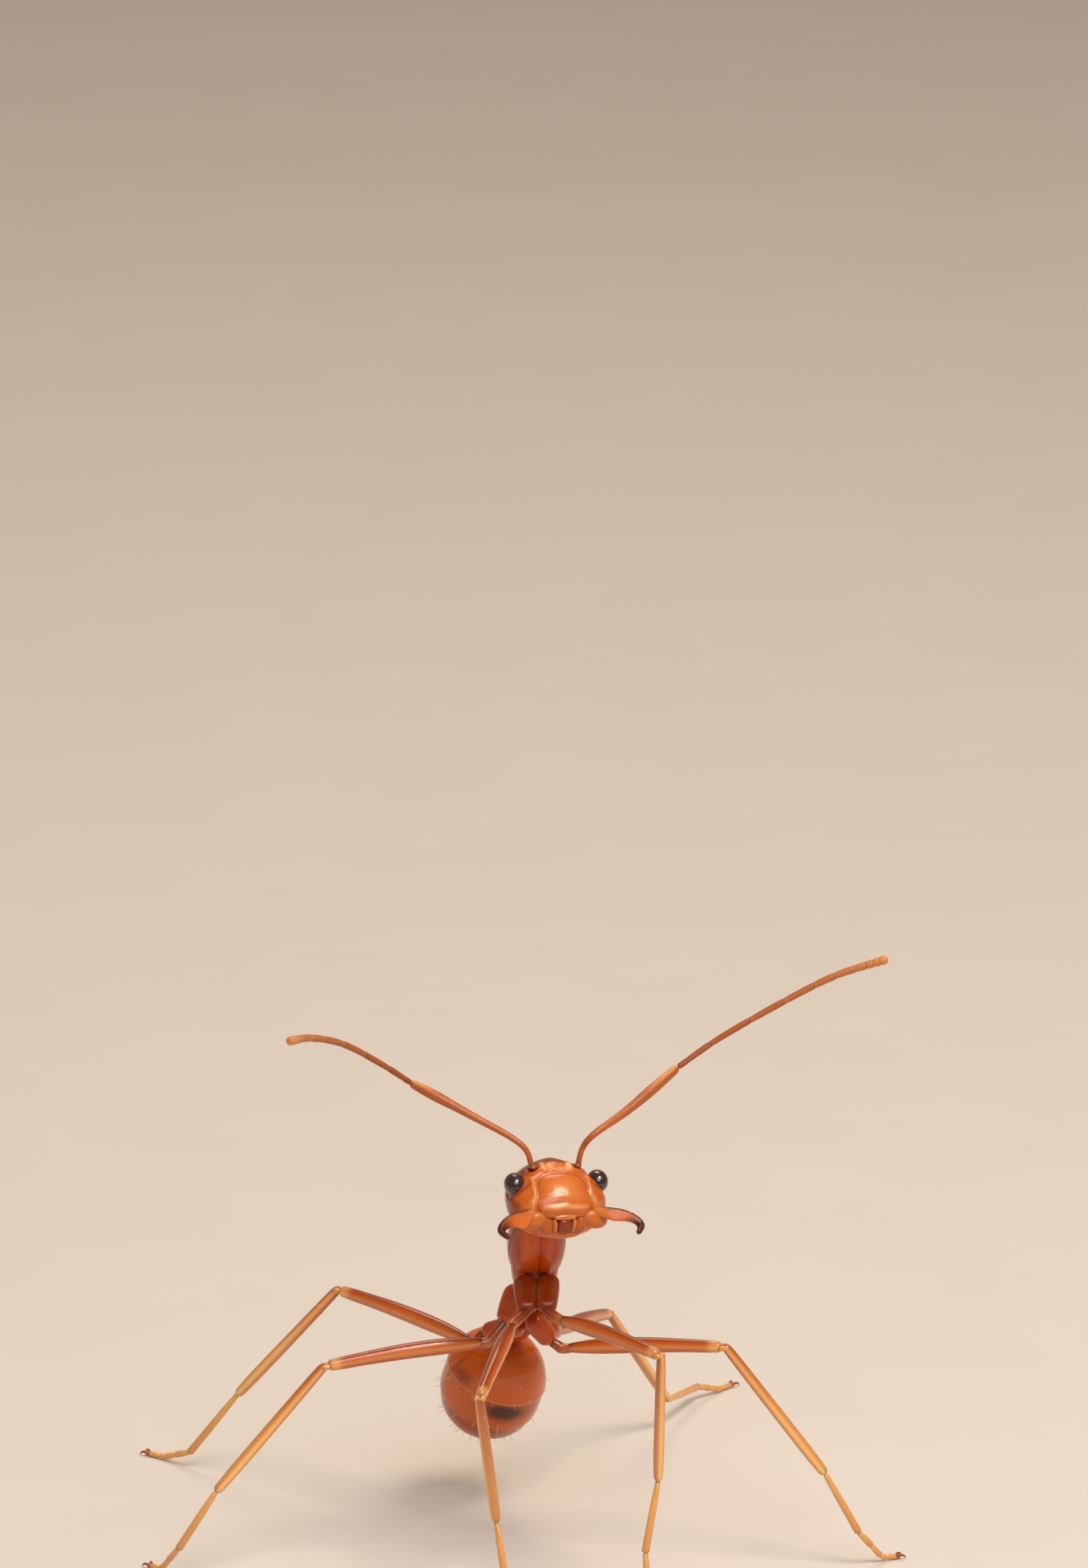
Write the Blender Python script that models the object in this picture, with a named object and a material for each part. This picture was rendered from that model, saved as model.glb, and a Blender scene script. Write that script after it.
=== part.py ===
"""Weaver ant, major worker, at life size: standing alert, head high, jaws open, feelers raised.

The ant faces -Y, its left side is +X and the floor is z = 0. Every number named below is in
millimetres or degrees. The feelers and legs are about half a millimetre thick, which is
stouter than life, and their centre lines keep their true lengths and directions.
"""

import math

import bmesh
import bpy
from mathutils import Matrix, Vector

MM = 0.001
GAP = 0.03  # clear space kept between neighbouring pieces

# Head, measured along its own axis from the back of the head to the lip
HEAD_CENTRE = Vector((0.01, -0.70, 6.73))
HEAD_YAW = 4.3  # turned to the ant's left
HEAD_DROP = 12.8  # lip below the back of the head
HEAD_ROLL = 3.7  # left side lower than the right
HEAD_HALF_LENGTH = 0.80
HEAD_LIP_SETBACK = 0.04  # the lip stops this far short of the half length
# Half width, height above and depth below the axis, at stations from the back to the lip
HEAD_WIDTHS = (0.22, 0.60, 0.74, 0.79, 0.81, 0.83, 0.80, 0.67, 0.38)
HEAD_TOPS = (0.14, 0.37, 0.51, 0.58, 0.58, 0.55, 0.46, 0.34, 0.17)
HEAD_BOTTOMS = (0.16, 0.36, 0.46, 0.50, 0.50, 0.50, 0.49, 0.45, 0.28)
MOUTH = (0.785, 0.92)  # where the folded mouthparts start and end in front of the lip
MOUTH_WIDTHS = (0.20, 0.19, 0.13)
MOUTH_TOPS = (-0.02, -0.04, -0.09)
MOUTH_BOTTOMS = (0.30, 0.30, 0.24)
EYE_PLACE = (0.715, 0.05, 0.30)  # left eye: across, forward, up
EYE_HALF_SIZE = (0.18, 0.21, 0.19)
# Left jaw's centre line, from its hinge out and forward to the hooked tip: across, forward, up
MANDIBLE_LINE = (
    (0.48, 0.54, 0.02),
    (0.72, 0.73, 0.11),
    (0.95, 0.83, 0.13),
    (1.12, 0.95, 0.11),
    (1.21, 1.08, 0.05),
    (1.11, 1.26, 0.01),
)
MANDIBLE_ROOT_RADIUS = 0.13
MANDIBLE_TIP_RADIUS = 0.05
MANDIBLE_IN_HEAD = 4  # points of the jaw's line that its socket in the head follows

# Mesosoma, measured from the neck along its axis, which climbs steeply
NECK = Vector((-0.07, 0.0, 6.45))
TRUNK_DIRECTION = Vector((0.05, 0.469, -0.881)).normalized()
# Start and end of each piece, then its half widths, heights toward the back and toward the belly
PROTHORAX = (
    (0.04, 1.50),
    (0.20, 0.38, 0.465, 0.475, 0.43),
    (0.16, 0.38, 0.46, 0.46, 0.38),
    (0.16, 0.34, 0.42, 0.43, 0.36),
)
MESOTHORAX = (
    (1.53, 2.12),
    (0.40, 0.38, 0.35, 0.30),
    (0.36, 0.34, 0.27, 0.20),
    (0.34, 0.38, 0.38, 0.34),
)
PROPODEUM = (
    (2.15, 3.08),
    (0.30, 0.37, 0.38, 0.34, 0.17),
    (0.20, 0.32, 0.37, 0.33, 0.14),
    (0.34, 0.37, 0.35, 0.30, 0.16),
)

# Waist and gaster
WAIST_DROP = 0.04  # the waist leaves the trunk this far below its axis
PETIOLE_LENGTH = 0.72
PETIOLE_WIDTHS = (0.13, 0.15, 0.20, 0.20, 0.15)
PETIOLE_TOPS = (0.13, 0.16, 0.26, 0.22, 0.14)
PETIOLE_BOTTOMS = (0.12, 0.14, 0.15, 0.14, 0.12)
PETIOLE_DIRECTION = Vector((-0.28, 0.80, -0.52)).normalized()
GASTER_DIRECTION = Vector((-0.19, 0.40, -0.89)).normalized()
GASTER_LENGTH = 2.14
GASTER_HALF_WIDTH = 0.88
GASTER_HALF_DEPTH = 0.80
GASTER_CUTS = (0.43, 0.69, 0.87)  # ends of the plates, as shares of the length
GASTER_FULLNESS = 2.25  # 2 would be an ellipse; more is fuller toward the ends
GASTER_END = 0.004  # share of the length left off at both ends, where the skin closes on a cap

# Feelers
FEELER_THICKNESS = 0.46
SOCKET = (0.386, -0.09, 0.56)  # left socket: across, forward, up
ELBOW_SETBACK = 0.13  # how far the two lengths of a feeler stay from the middle of their elbow
FEELER_LINES = {
    "left": (
        (
            Vector((0.52, -0.67, 7.54)),
            Vector((0.70, -0.73, 7.83)),
            Vector((1.34, -0.36, 8.10)),
            Vector((2.35, 0.28, 8.51)),
        ),
        (
            Vector((3.05, 0.35, 8.93)),
            Vector((4.10, 0.30, 9.50)),
            Vector((5.00, 0.22, 9.94)),
            Vector((5.88, 0.10, 10.22)),
        ),
    ),
    "right": (
        (Vector((-0.52, -0.62, 7.66)), Vector((-1.30, -0.22, 8.10)), Vector((-2.19, 0.33, 8.54))),
        (
            Vector((-2.72, -0.12, 9.02)),
            Vector((-3.50, -0.82, 9.66)),
            Vector((-4.18, -1.54, 10.06)),
            Vector((-4.68, -2.14, 10.24)),
        ),
    ),
}

# Legs
COXA_RADII = (0.12, 0.21, 0.20, 0.17, 0.12)  # from the trunk to the hip
LEG_THICKNESS = 0.50
SHIN_THICKNESS = 0.48
FOOT_THICKNESS = 0.46
FOOT_HEIGHT = FOOT_THICKNESS / 2 - 0.05  # centre line of the toes, so that a flat is cut at the floor
FEMUR_BOW = 0.05
LIMB_END = 0.45  # thickness left at the ends of a limb, as a share of the whole
TOE_END = 0.6
# Each coxa's place on the trunk: along it, outward, toward the belly
COXA_PLACE = {
    "front": (1.40, 0.205, 0.45),
    "middle": (2.12, 0.24, 0.42),
    "hind": (2.76, 0.25, 0.36),
}
# The pieces of the trunk that each coxa is set into
HOSTS = {
    "front": ("prothorax", "mesothorax"),
    "middle": ("mesothorax", "propodeum"),
    "hind": ("propodeum",),
}
# Lengths of coxa with trochanter, femur, tibia, heel joint of the foot, and the rest of the foot
LEG_LENGTHS = {
    "front": (0.94, 2.48, 2.24, 1.19, 1.11),
    "middle": (0.84, 2.85, 2.78, 1.18, 0.84),
    "hind": (0.89, 3.03, 3.01, 1.49, 0.9),
}
# Heading (0 is straight ahead, 90 straight out) and climb of coxa, femur, tibia and heel joint,
# then the heading of the toes, which reach down to the floor
LEG_POSE = {
    ("front", "right"): ((28.2, -38.4), (25, -10.7), (-105.7, -82), (-18.9, -72.4), -4),
    ("front", "left"): ((-1.7, -31.1), (30.7, 0.3), (191.1, -87.2), (-47.5, -72.4), 0),
    ("middle", "right"): ((70.4, -40.4), (87.2, -3.6), (89.4, -48.4), (99.2, -57.8), 151.6),
    ("middle", "left"): ((83, -75.2), (62.1, 6.1), (73.9, -52.9), (78.9, -61.6), 105.1),
    ("hind", "right"): ((123.2, -26), (141.2, 5), (130.5, -48.6), (125, -52.6), 139),
    ("hind", "left"): ((158.7, -26.4), (149.8, -13.1), (137.4, -47.8), (146.6, -10), 126.9),
}

SHELL = {
    "orange": ((0.60, 0.17, 0.035), 0.30),
    "red": ((0.36, 0.07, 0.015), 0.30),
    "amber": ((0.62, 0.24, 0.05), 0.30),
    "brown": ((0.16, 0.035, 0.012), 0.28),
    "black": ((0.012, 0.006, 0.004), 0.12),
}


def clear_scene():
    for obj in list(bpy.data.objects):
        bpy.data.objects.remove(obj, do_unlink=True)


def collection(name):
    made = bpy.data.collections.new(name)
    bpy.context.scene.collection.children.link(made)
    return made


def coat(obj, shade):
    """Gives the object a Principled material of its own."""
    colour, roughness = SHELL[shade]
    made = bpy.data.materials.new(obj.name)
    made.use_nodes = True
    surface = made.node_tree.nodes["Principled BSDF"]
    surface.inputs["Base Color"].default_value = (*colour, 1.0)
    surface.inputs["Roughness"].default_value = roughness
    surface.inputs["Metallic"].default_value = 0.0
    obj.data.materials.append(made)


def place(obj, shade):
    """Puts a finished object in the ant, standing on the ant's own root."""
    PARTS.objects.link(obj)
    obj.parent = ROOT
    coat(obj, shade)
    return obj


def axes(origin, forward, up):
    """Matrix whose X runs to the left, Y along forward and Z up, for a piece at origin."""
    along = Vector(forward).normalized()
    side = along.cross(Vector(up)).normalized()
    rise = side.cross(along)
    frame = Matrix((side, along, rise)).transposed().to_4x4()
    frame.translation = Vector(origin)
    return frame


def smooth(values, share):
    """Value at share (0 to 1) of a smooth curve through equally spaced values."""
    at = share * (len(values) - 1)
    left = min(int(at), len(values) - 2)
    t = at - left
    before = values[left - 1] if left else values[0] * 2 - values[1]
    after = values[left + 2] if left + 2 < len(values) else values[-1] * 2 - values[-2]
    start, end = values[left], values[left + 1]
    bend = (end - before) * 0.5, (after - start) * 0.5
    return (
        start * (2 * t**3 - 3 * t**2 + 1)
        + bend[0] * (t**3 - 2 * t**2 + t)
        + end * (3 * t**2 - 2 * t**3)
        + bend[1] * (t**3 - t**2)
    )


def section(along, half_width, top, bottom, squareness, sides):
    """A closed ring across the Y axis: an oval with its own height above and below."""
    ring = []
    for step in range(sides):
        turn = math.tau * step / sides
        x, z = math.cos(turn), math.sin(turn)
        x = math.copysign(abs(x) ** squareness, x) * half_width
        z = math.copysign(abs(z) ** squareness, z) * (top if z > 0 else bottom)
        ring.append(Vector((x, along, z)))
    return ring


def skin_rings(rings):
    """Closed mesh over rings of equal count, with a flat cap at each end."""
    mesh = bmesh.new()
    loops = [[mesh.verts.new(point * MM) for point in ring] for ring in rings]
    count = len(rings[0])
    for lower, upper in zip(loops, loops[1:]):
        for step in range(count):
            following = (step + 1) % count
            mesh.faces.new((lower[step], lower[following], upper[following], upper[step]))
    mesh.faces.new(reversed(loops[0]))
    mesh.faces.new(loops[-1])
    bmesh.ops.recalc_face_normals(mesh, faces=mesh.faces)
    return mesh


def as_object(name, mesh, frame=None):
    data = bpy.data.meshes.new(name)
    mesh.to_mesh(data)
    mesh.free()
    data.shade_smooth()
    data.set_sharp_from_angle(angle=math.radians(50))
    made = bpy.data.objects.new(name, data)
    if frame is not None:
        frame = frame.copy()
        frame.translation = frame.translation * MM
        made.matrix_local = frame
    return made


def body_form(name, frame, shade, ends, widths, tops, bottoms, squareness=0.9, sides=20, steps=12):
    """A rounded form along its frame's Y: half width, height above and depth below at stations."""
    rings = []
    for step in range(steps + 1):
        share = 0.5 - 0.5 * math.cos(math.pi * step / steps)
        rings.append(
            section(
                ends[0] + (ends[1] - ends[0]) * share,
                smooth(widths, share),
                smooth(tops, share),
                smooth(bottoms, share),
                squareness,
                sides,
            )
        )
    return place(as_object(name, skin_rings(rings), frame), shade)


def ball(name, frame, half_size, segments=16, rings=10):
    """An ellipsoid in its frame."""
    mesh = bmesh.new()
    bmesh.ops.create_uvsphere(mesh, u_segments=segments, v_segments=rings, radius=MM)
    bmesh.ops.scale(mesh, vec=half_size, verts=mesh.verts)
    return as_object(name, mesh, frame)


def sink(host, cutter):
    """Cuts the place where a neighbour sits out of its host, with the cutter kept as a guide."""
    CUTTERS.objects.link(cutter)
    cutter.parent = ROOT
    cutter.hide_render = True
    cutter.display_type = "WIRE"
    cut = host.modifiers.new(cutter.name, "BOOLEAN")
    cut.operation = "DIFFERENCE"
    cut.object = cutter


def tube(name, points, radii, sides=3):
    """A round curve object through the points, with its own radius at each."""
    curve = bpy.data.curves.new(name, "CURVE")
    curve.dimensions = "3D"
    curve.bevel_depth = MM
    curve.bevel_resolution = sides
    curve.use_fill_caps = True
    line = curve.splines.new("POLY")
    line.points.add(len(points) - 1)
    for knot, point, radius in zip(line.points, points, radii):
        knot.co = (*(point * MM), 1.0)
        knot.radius = radius
    line.use_smooth = True
    return bpy.data.objects.new(name, curve)


def rounded(share):
    """Radius factor along a limb: full in the middle, drawn in at both ends."""
    across = abs(2 * share - 1)
    return max(LIMB_END, (1 - across**5) ** 0.4)


def limb(name, start, end, thickness, shade, setback, bow=None, count=9):
    """One straight or slightly bowed length of a limb between two joints."""
    run = end - start
    first = start + run.normalized() * setback[0]
    last = end - run.normalized() * setback[1]
    points, radii = [], []
    for step in range(count):
        share = 0.5 - 0.5 * math.cos(math.pi * step / (count - 1))
        point = first.lerp(last, share)
        if bow is not None:
            point = point + bow * math.sin(math.pi * share)
        points.append(point)
        radii.append(thickness / 2 * rounded(share))
    return place(tube(name, points, radii), shade)


def solid_mesh(obj):
    """The curve object's shape as a welded mesh object that takes its place."""
    bpy.context.view_layer.update()
    graph = bpy.context.evaluated_depsgraph_get()
    data = bpy.data.meshes.new_from_object(obj.evaluated_get(graph))
    mesh = bmesh.new()
    mesh.from_mesh(data)
    bmesh.ops.remove_doubles(mesh, verts=mesh.verts, dist=1e-7)
    bmesh.ops.recalc_face_normals(mesh, faces=mesh.faces)
    mesh.to_mesh(data)
    mesh.free()
    name, matrix = obj.name, obj.matrix_world.copy()
    bpy.data.objects.remove(obj, do_unlink=True)
    data.name = name
    made = bpy.data.objects.new(name, data)
    made.matrix_world = matrix
    return made


def trim_at_floor(obj):
    """Cuts away what reaches below z = 0, which leaves the small flat that the foot stands on."""
    mesh = bmesh.new()
    mesh.from_mesh(obj.data)
    everything = mesh.verts[:] + mesh.edges[:] + mesh.faces[:]
    cut = bmesh.ops.bisect_plane(
        mesh, geom=everything, plane_co=(0, 0, 0), plane_no=(0, 0, 1), clear_inner=True, dist=1e-8
    )
    edges = [item for item in cut["geom_cut"] if isinstance(item, bmesh.types.BMEdge)]
    bmesh.ops.contextual_create(mesh, geom=edges)
    bmesh.ops.recalc_face_normals(mesh, faces=mesh.faces)
    mesh.to_mesh(obj.data)
    mesh.free()
    obj.data.shade_smooth()
    obj.data.set_sharp_from_angle(angle=math.radians(50))


def direction(heading, climb, side):
    """Unit vector at a heading outward from straight ahead, on the side given as +1 or -1."""
    turn, rise = math.radians(heading), math.radians(climb)
    return Vector(
        (side * math.sin(turn) * math.cos(rise), -math.cos(turn) * math.cos(rise), math.sin(rise))
    )


def head_frame():
    turn, drop, roll = (math.radians(angle) for angle in (HEAD_YAW, HEAD_DROP, HEAD_ROLL))
    level = math.cos(drop)
    forward = Vector((math.sin(turn) * level, -math.cos(turn) * level, -math.sin(drop)))
    left = Vector((math.cos(turn), math.sin(turn), 0))
    up = forward.cross(left) * math.cos(roll) + left * math.sin(roll)
    return axes(HEAD_CENTRE, forward, up)


def on_head(frame, across, forward, up):
    """A point of the head; across is positive on the ant's left."""
    return frame @ Vector((-across, forward, up))


def build_head():
    frame = head_frame()
    head = body_form(
        "head",
        frame,
        "orange",
        (-HEAD_HALF_LENGTH, HEAD_HALF_LENGTH - HEAD_LIP_SETBACK),
        HEAD_WIDTHS,
        HEAD_TOPS,
        HEAD_BOTTOMS,
        squareness=0.82,
        sides=26,
        steps=14,
    )
    body_form(
        "mouthparts",
        frame,
        "red",
        MOUTH,
        MOUTH_WIDTHS,
        MOUTH_TOPS,
        MOUTH_BOTTOMS,
        sides=14,
        steps=4,
    )
    for side, sign in (("left", 1), ("right", -1)):
        across, forward, up = EYE_PLACE
        eye = frame @ Matrix.Translation((-sign * across, forward, up))
        place(ball(f"eye_{side}", eye, EYE_HALF_SIZE), "black")
        sink(head, ball(f"eye_{side}_socket", eye, [half + GAP for half in EYE_HALF_SIZE]))
        build_mandible(head, frame, side, sign)


def build_mandible(head, frame, side, sign):
    """An open jaw: from its hinge at the cheek out, forward and in again to a hooked tip."""
    line = [on_head(frame, sign * across, forward, up) for across, forward, up in MANDIBLE_LINE]
    steps = 10
    taper = MANDIBLE_ROOT_RADIUS - MANDIBLE_TIP_RADIUS
    points = [smooth(line, step / steps) for step in range(steps + 1)]
    radii = [MANDIBLE_ROOT_RADIUS - taper * (step / steps) ** 1.3 for step in range(steps + 1)]
    place(tube(f"mandible_{side}", points, radii), "brown")
    wider = [radius + GAP for radius in radii[:MANDIBLE_IN_HEAD]]
    sink(head, solid_mesh(tube(f"mandible_{side}_socket", points[:MANDIBLE_IN_HEAD], wider)))


def build_feelers():
    """Each feeler: a long first length, the scape, then the many-jointed funiculus."""
    frame = head_frame()
    for side, sign in (("left", 1), ("right", -1)):
        across, forward, up = SOCKET
        foot = on_head(frame, sign * across, forward, up + GAP)
        scape, funiculus = FEELER_LINES[side]
        feeler_length(f"scape_{side}", [foot, *scape], 10, "orange", (0, ELBOW_SETBACK), (0.55, 0.5))
        funiculus = [scape[-1], *funiculus]
        feeler_length(f"funiculus_{side}", funiculus, 14, "amber", (ELBOW_SETBACK, 0), (0.5, 0.5))


def feeler_length(name, line, count, shade, setback, ends):
    """A feeler's length along a smooth line, drawn in at the ends and cut short of its joints."""
    points = [smooth(line, step / (count - 1)) for step in range(count)]
    points[0] = points[0] + (points[1] - points[0]).normalized() * setback[0]
    points[-1] = points[-1] - (points[-1] - points[-2]).normalized() * setback[1]
    radii = [FEELER_THICKNESS / 2] * count
    radii[0] *= ends[0]
    radii[-1] *= ends[1]
    place(tube(name, points, radii), shade)


def trunk_frame():
    return axes(NECK, TRUNK_DIRECTION, (0, 0, 1))


def build_trunk():
    frame = trunk_frame()
    forms = {"prothorax": PROTHORAX, "mesothorax": MESOTHORAX, "propodeum": PROPODEUM}
    return {name: body_form(name, frame, "red", *shape, steps=8) for name, shape in forms.items()}


def build_waist_and_gaster():
    frame = trunk_frame()
    rear = frame @ Vector((0, PROPODEUM[0][1], -WAIST_DROP))
    start = rear + PETIOLE_DIRECTION * (GAP * 2)
    stalk = axes(start, PETIOLE_DIRECTION, (0, 0, 1))
    body_form(
        "petiole",
        stalk,
        "red",
        (0, PETIOLE_LENGTH),
        PETIOLE_WIDTHS,
        PETIOLE_TOPS,
        PETIOLE_BOTTOMS,
        sides=14,
        steps=8,
    )
    tail = start + PETIOLE_DIRECTION * (PETIOLE_LENGTH + GAP)
    gaster = axes(tail, GASTER_DIRECTION, (0, 1, 0))
    gap = GAP / GASTER_LENGTH
    ends = (*GASTER_CUTS, 1 - GASTER_END)
    starts = (GASTER_END, *(cut + gap for cut in GASTER_CUTS))
    for number, (near, far) in enumerate(zip(starts, ends), start=1):
        rings = []
        steps = 8 if number == 1 else 4
        for step in range(steps + 1):
            share = near + (far - near) * step / steps
            swell = math.sqrt(1 - abs(2 * share - 1) ** GASTER_FULLNESS)
            depth = GASTER_HALF_DEPTH * swell
            rings.append(section(share * GASTER_LENGTH, GASTER_HALF_WIDTH * swell, depth, depth, 1, 22))
        place(as_object(f"gaster_segment_{number}", skin_rings(rings), gaster), "orange")


def leg_joints(row, side):
    """Places of hip base, hip, knee, ankle, heel end and toe tip, from the trunk to the floor."""
    sign = 1 if side == "left" else -1
    along, out, down = COXA_PLACE[row]
    joints = [trunk_frame() @ Vector((sign * out, along, -down))]
    *turns, toe_heading = LEG_POSE[row, side]
    for length, turn in zip(LEG_LENGTHS[row], turns):
        joints.append(joints[-1] + direction(*turn, sign) * length)
    toes = LEG_LENGTHS[row][-1]
    drop = joints[-1].z - FOOT_HEIGHT
    reach = math.sqrt(max(toes**2 - drop**2, (0.35 * toes) ** 2))
    toe = joints[-1] + direction(toe_heading, 0, sign) * reach
    toe.z = FOOT_HEIGHT
    joints.append(toe)
    return joints


def bend_setback(before, joint, after, radius):
    """How far two lengths stay from a joint so that their ends clear each other."""
    bend = (joint - before).angle(after - joint)
    return radius * math.tan(bend / 2) + GAP


def build_leg(row, side, trunk):
    base, hip, knee, ankle, heel, toe = leg_joints(row, side)
    name = f"{row}_{side}"
    end = LIMB_END * LEG_THICKNESS / 2
    at_hip = bend_setback(base, hip, knee, end)
    at_knee = bend_setback(hip, knee, ankle, end)
    at_ankle = bend_setback(knee, ankle, heel, end)
    coxa_end = hip - (hip - base).normalized() * at_hip
    build_coxa(name, base, coxa_end, [trunk[host] for host in HOSTS[row]])
    arch = Vector((0, 0, FEMUR_BOW))
    limb(f"femur_{name}", hip, knee, LEG_THICKNESS, "amber", (at_hip, at_knee), arch)
    limb(f"tibia_{name}", knee, ankle, SHIN_THICKNESS, "amber", (at_knee, at_ankle))
    start = ankle + (heel - ankle).normalized() * at_ankle
    line = [start, start.lerp(heel, 0.5), heel, heel.lerp(toe, 0.6), toe]
    line[3].z = FOOT_HEIGHT + 0.25 * (line[3].z - FOOT_HEIGHT)
    steps = 10
    points = [smooth(line, step / steps) for step in range(steps + 1)]
    for point in points:
        point.z = max(point.z, FOOT_HEIGHT)
    radii = [FOOT_THICKNESS / 2] * (steps + 1)
    radii[0] *= LIMB_END
    radii[-1] *= TOE_END
    foot = solid_mesh(tube(f"tarsus_{name}", points, radii))
    trim_at_floor(foot)
    place(foot, "amber")


def build_coxa(name, base, tip, hosts):
    """The stout first length of a leg, set into the trunk pieces that carry it."""
    steps = 6
    points = [base.lerp(tip, step / steps) for step in range(steps + 1)]
    radii = [smooth(COXA_RADII, step / steps) for step in range(steps + 1)]
    place(tube(f"coxa_{name}", points, radii), "red")
    wider = [radius + GAP for radius in radii]
    longer = [base - (tip - base).normalized() * GAP, *points[1:]]
    for host in hosts:
        sink(host, solid_mesh(tube(f"coxa_{name}_socket_{host.name}", longer, wider)))


def stand_on_origin():
    """Moves the ant so that the middle of its footprint box is the origin; the floor stays at 0."""
    bpy.context.view_layer.update()
    graph = bpy.context.evaluated_depsgraph_get()
    corners = []
    for obj in PARTS.objects:
        shape = obj.evaluated_get(graph)
        mesh = shape.to_mesh()
        corners += [shape.matrix_world @ vertex.co for vertex in mesh.vertices]
        shape.to_mesh_clear()
    for axis in (0, 1):
        low = min(corner[axis] for corner in corners)
        high = max(corner[axis] for corner in corners)
        ROOT.location[axis] = -(low + high) / 2


clear_scene()
PARTS = collection("weaver_ant")
CUTTERS = collection("sockets")
ROOT = bpy.data.objects.new("ant_root", None)
PARTS.objects.link(ROOT)
build_head()
build_feelers()
trunk_pieces = build_trunk()
build_waist_and_gaster()
for leg_row in ("front", "middle", "hind"):
    for leg_side in ("left", "right"):
        build_leg(leg_row, leg_side, trunk_pieces)
PARTS.objects.unlink(ROOT)
bpy.context.scene.collection.objects.link(ROOT)
stand_on_origin()
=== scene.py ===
"""Looks of the weaver ant, major worker, at life size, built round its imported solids.

Sizes in this script are millimetres in the ant's own frame: the neck stands over x = y = 0, the
floor is z = 0, the ant faces -Y and its left side is +X. HOME carries that frame to the solids.
"""

import math

import bmesh
import bpy
from mathutils import Matrix, Vector, noise


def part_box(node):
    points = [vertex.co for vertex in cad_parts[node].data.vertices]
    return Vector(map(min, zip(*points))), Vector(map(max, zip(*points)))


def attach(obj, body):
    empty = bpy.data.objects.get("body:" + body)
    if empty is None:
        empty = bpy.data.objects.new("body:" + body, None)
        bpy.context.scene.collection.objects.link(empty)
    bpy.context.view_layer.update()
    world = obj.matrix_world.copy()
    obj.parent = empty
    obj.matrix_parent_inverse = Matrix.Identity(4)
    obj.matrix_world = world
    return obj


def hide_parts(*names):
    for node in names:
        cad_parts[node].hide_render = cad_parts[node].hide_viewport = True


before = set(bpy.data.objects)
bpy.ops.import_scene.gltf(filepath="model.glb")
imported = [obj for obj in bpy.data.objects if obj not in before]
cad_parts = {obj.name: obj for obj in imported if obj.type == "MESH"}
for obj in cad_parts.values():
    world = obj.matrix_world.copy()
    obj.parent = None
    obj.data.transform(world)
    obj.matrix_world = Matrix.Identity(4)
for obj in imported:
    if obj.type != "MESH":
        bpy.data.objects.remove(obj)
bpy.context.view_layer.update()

MM = 0.001
UP = Vector((0, 0, 1))
SIDES = (("left", 1), ("right", -1))

# Head, in its own axes: across (its left is positive), forward, up
HEAD_CENTRE = Vector((0.01, -0.70, 6.73))
HEAD_YAW = 4.3
HEAD_DROP = 12.8
HEAD_ROLL = -3.7
HEAD_BACK = -0.80
HEAD_LIP = 0.76
HEAD_WIDTHS = (0.22, 0.54, 0.69, 0.77, 0.81, 0.83, 0.80, 0.67, 0.38)
HEAD_TOPS = (0.14, 0.37, 0.51, 0.58, 0.58, 0.55, 0.46, 0.34, 0.17)
HEAD_BOTTOMS = (0.16, 0.36, 0.46, 0.50, 0.50, 0.50, 0.49, 0.45, 0.28)
EYE_PLACE = (0.715, 0.05, 0.30)
EYE_HALF_SIZE = (0.18, 0.21, 0.19)
SOCKET = (0.386, -0.09, 0.545)
CLYPEUS_MIDDLE = 0.46
CLYPEUS_HALF_LENGTH = 0.31
CLYPEUS_SHELF = 0.335
JAW_SEAT = (0.52, 0.56)
MANDIBLE_LINE = (
    (0.48, 0.54, 0.02),
    (0.72, 0.73, 0.11),
    (0.95, 0.83, 0.13),
    (1.12, 0.95, 0.11),
    (1.21, 1.08, 0.05),
    (1.11, 1.26, 0.01),
)
# Half thickness of the jaw's outer horn, and how far its blade stands in from the horn
JAW_RADII = (0.115, 0.092, 0.080, 0.070, 0.062, 0.056, 0.042)
JAW_BLADE = (0.0, 0.03, 0.15, 0.11, 0.05, 0.018, 0.008, 0.0)

# Trunk, measured from the neck along its axis
NECK = Vector((-0.07, 0.0, 6.45))
TRUNK_DIRECTION = Vector((0.05, 0.469, -0.881)).normalized()
PROPODEUM_END = 3.08
WAIST_DROP = 0.04
PETIOLE_LENGTH = 0.72
PETIOLE_DIRECTION = Vector((-0.28, 0.80, -0.52)).normalized()
# Ends of each part along its axis, then its half widths, heights and depths from front to back
TRUNK_PARTS = {
    "prothorax": (
        (0.0, 1.56), (0.20, 0.38, 0.470, 0.485, 0.43),
        (0.16, 0.38, 0.46, 0.46, 0.38), (0.16, 0.34, 0.42, 0.43, 0.36),
    ),
    "mesothorax": (
        (1.34, 2.20), (0.36, 0.385, 0.37, 0.34, 0.30),
        (0.34, 0.34, 0.29, 0.23, 0.20), (0.32, 0.36, 0.37, 0.37, 0.33),
    ),
    "propodeum": (
        (2.10, PROPODEUM_END), (0.29, 0.36, 0.38, 0.34, 0.20),
        (0.20, 0.32, 0.37, 0.33, 0.16), (0.33, 0.36, 0.35, 0.30, 0.17),
    ),
    "petiole": (
        (-0.10, PETIOLE_LENGTH + 0.08), (0.10, 0.13, 0.19, 0.20, 0.13),
        (0.10, 0.14, 0.25, 0.22, 0.11), (0.10, 0.13, 0.15, 0.14, 0.10),
    ),
}
GASTER_DIRECTION = Vector((-0.19, 0.40, -0.89)).normalized()
GASTER_LENGTH = 2.14
GASTER_HALF_WIDTH = 0.88
GASTER_HALF_DEPTH = 0.80
GASTER_FULLNESS = 2.25
GASTER_CUTS = (0.395, 0.67, 0.86)
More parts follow.
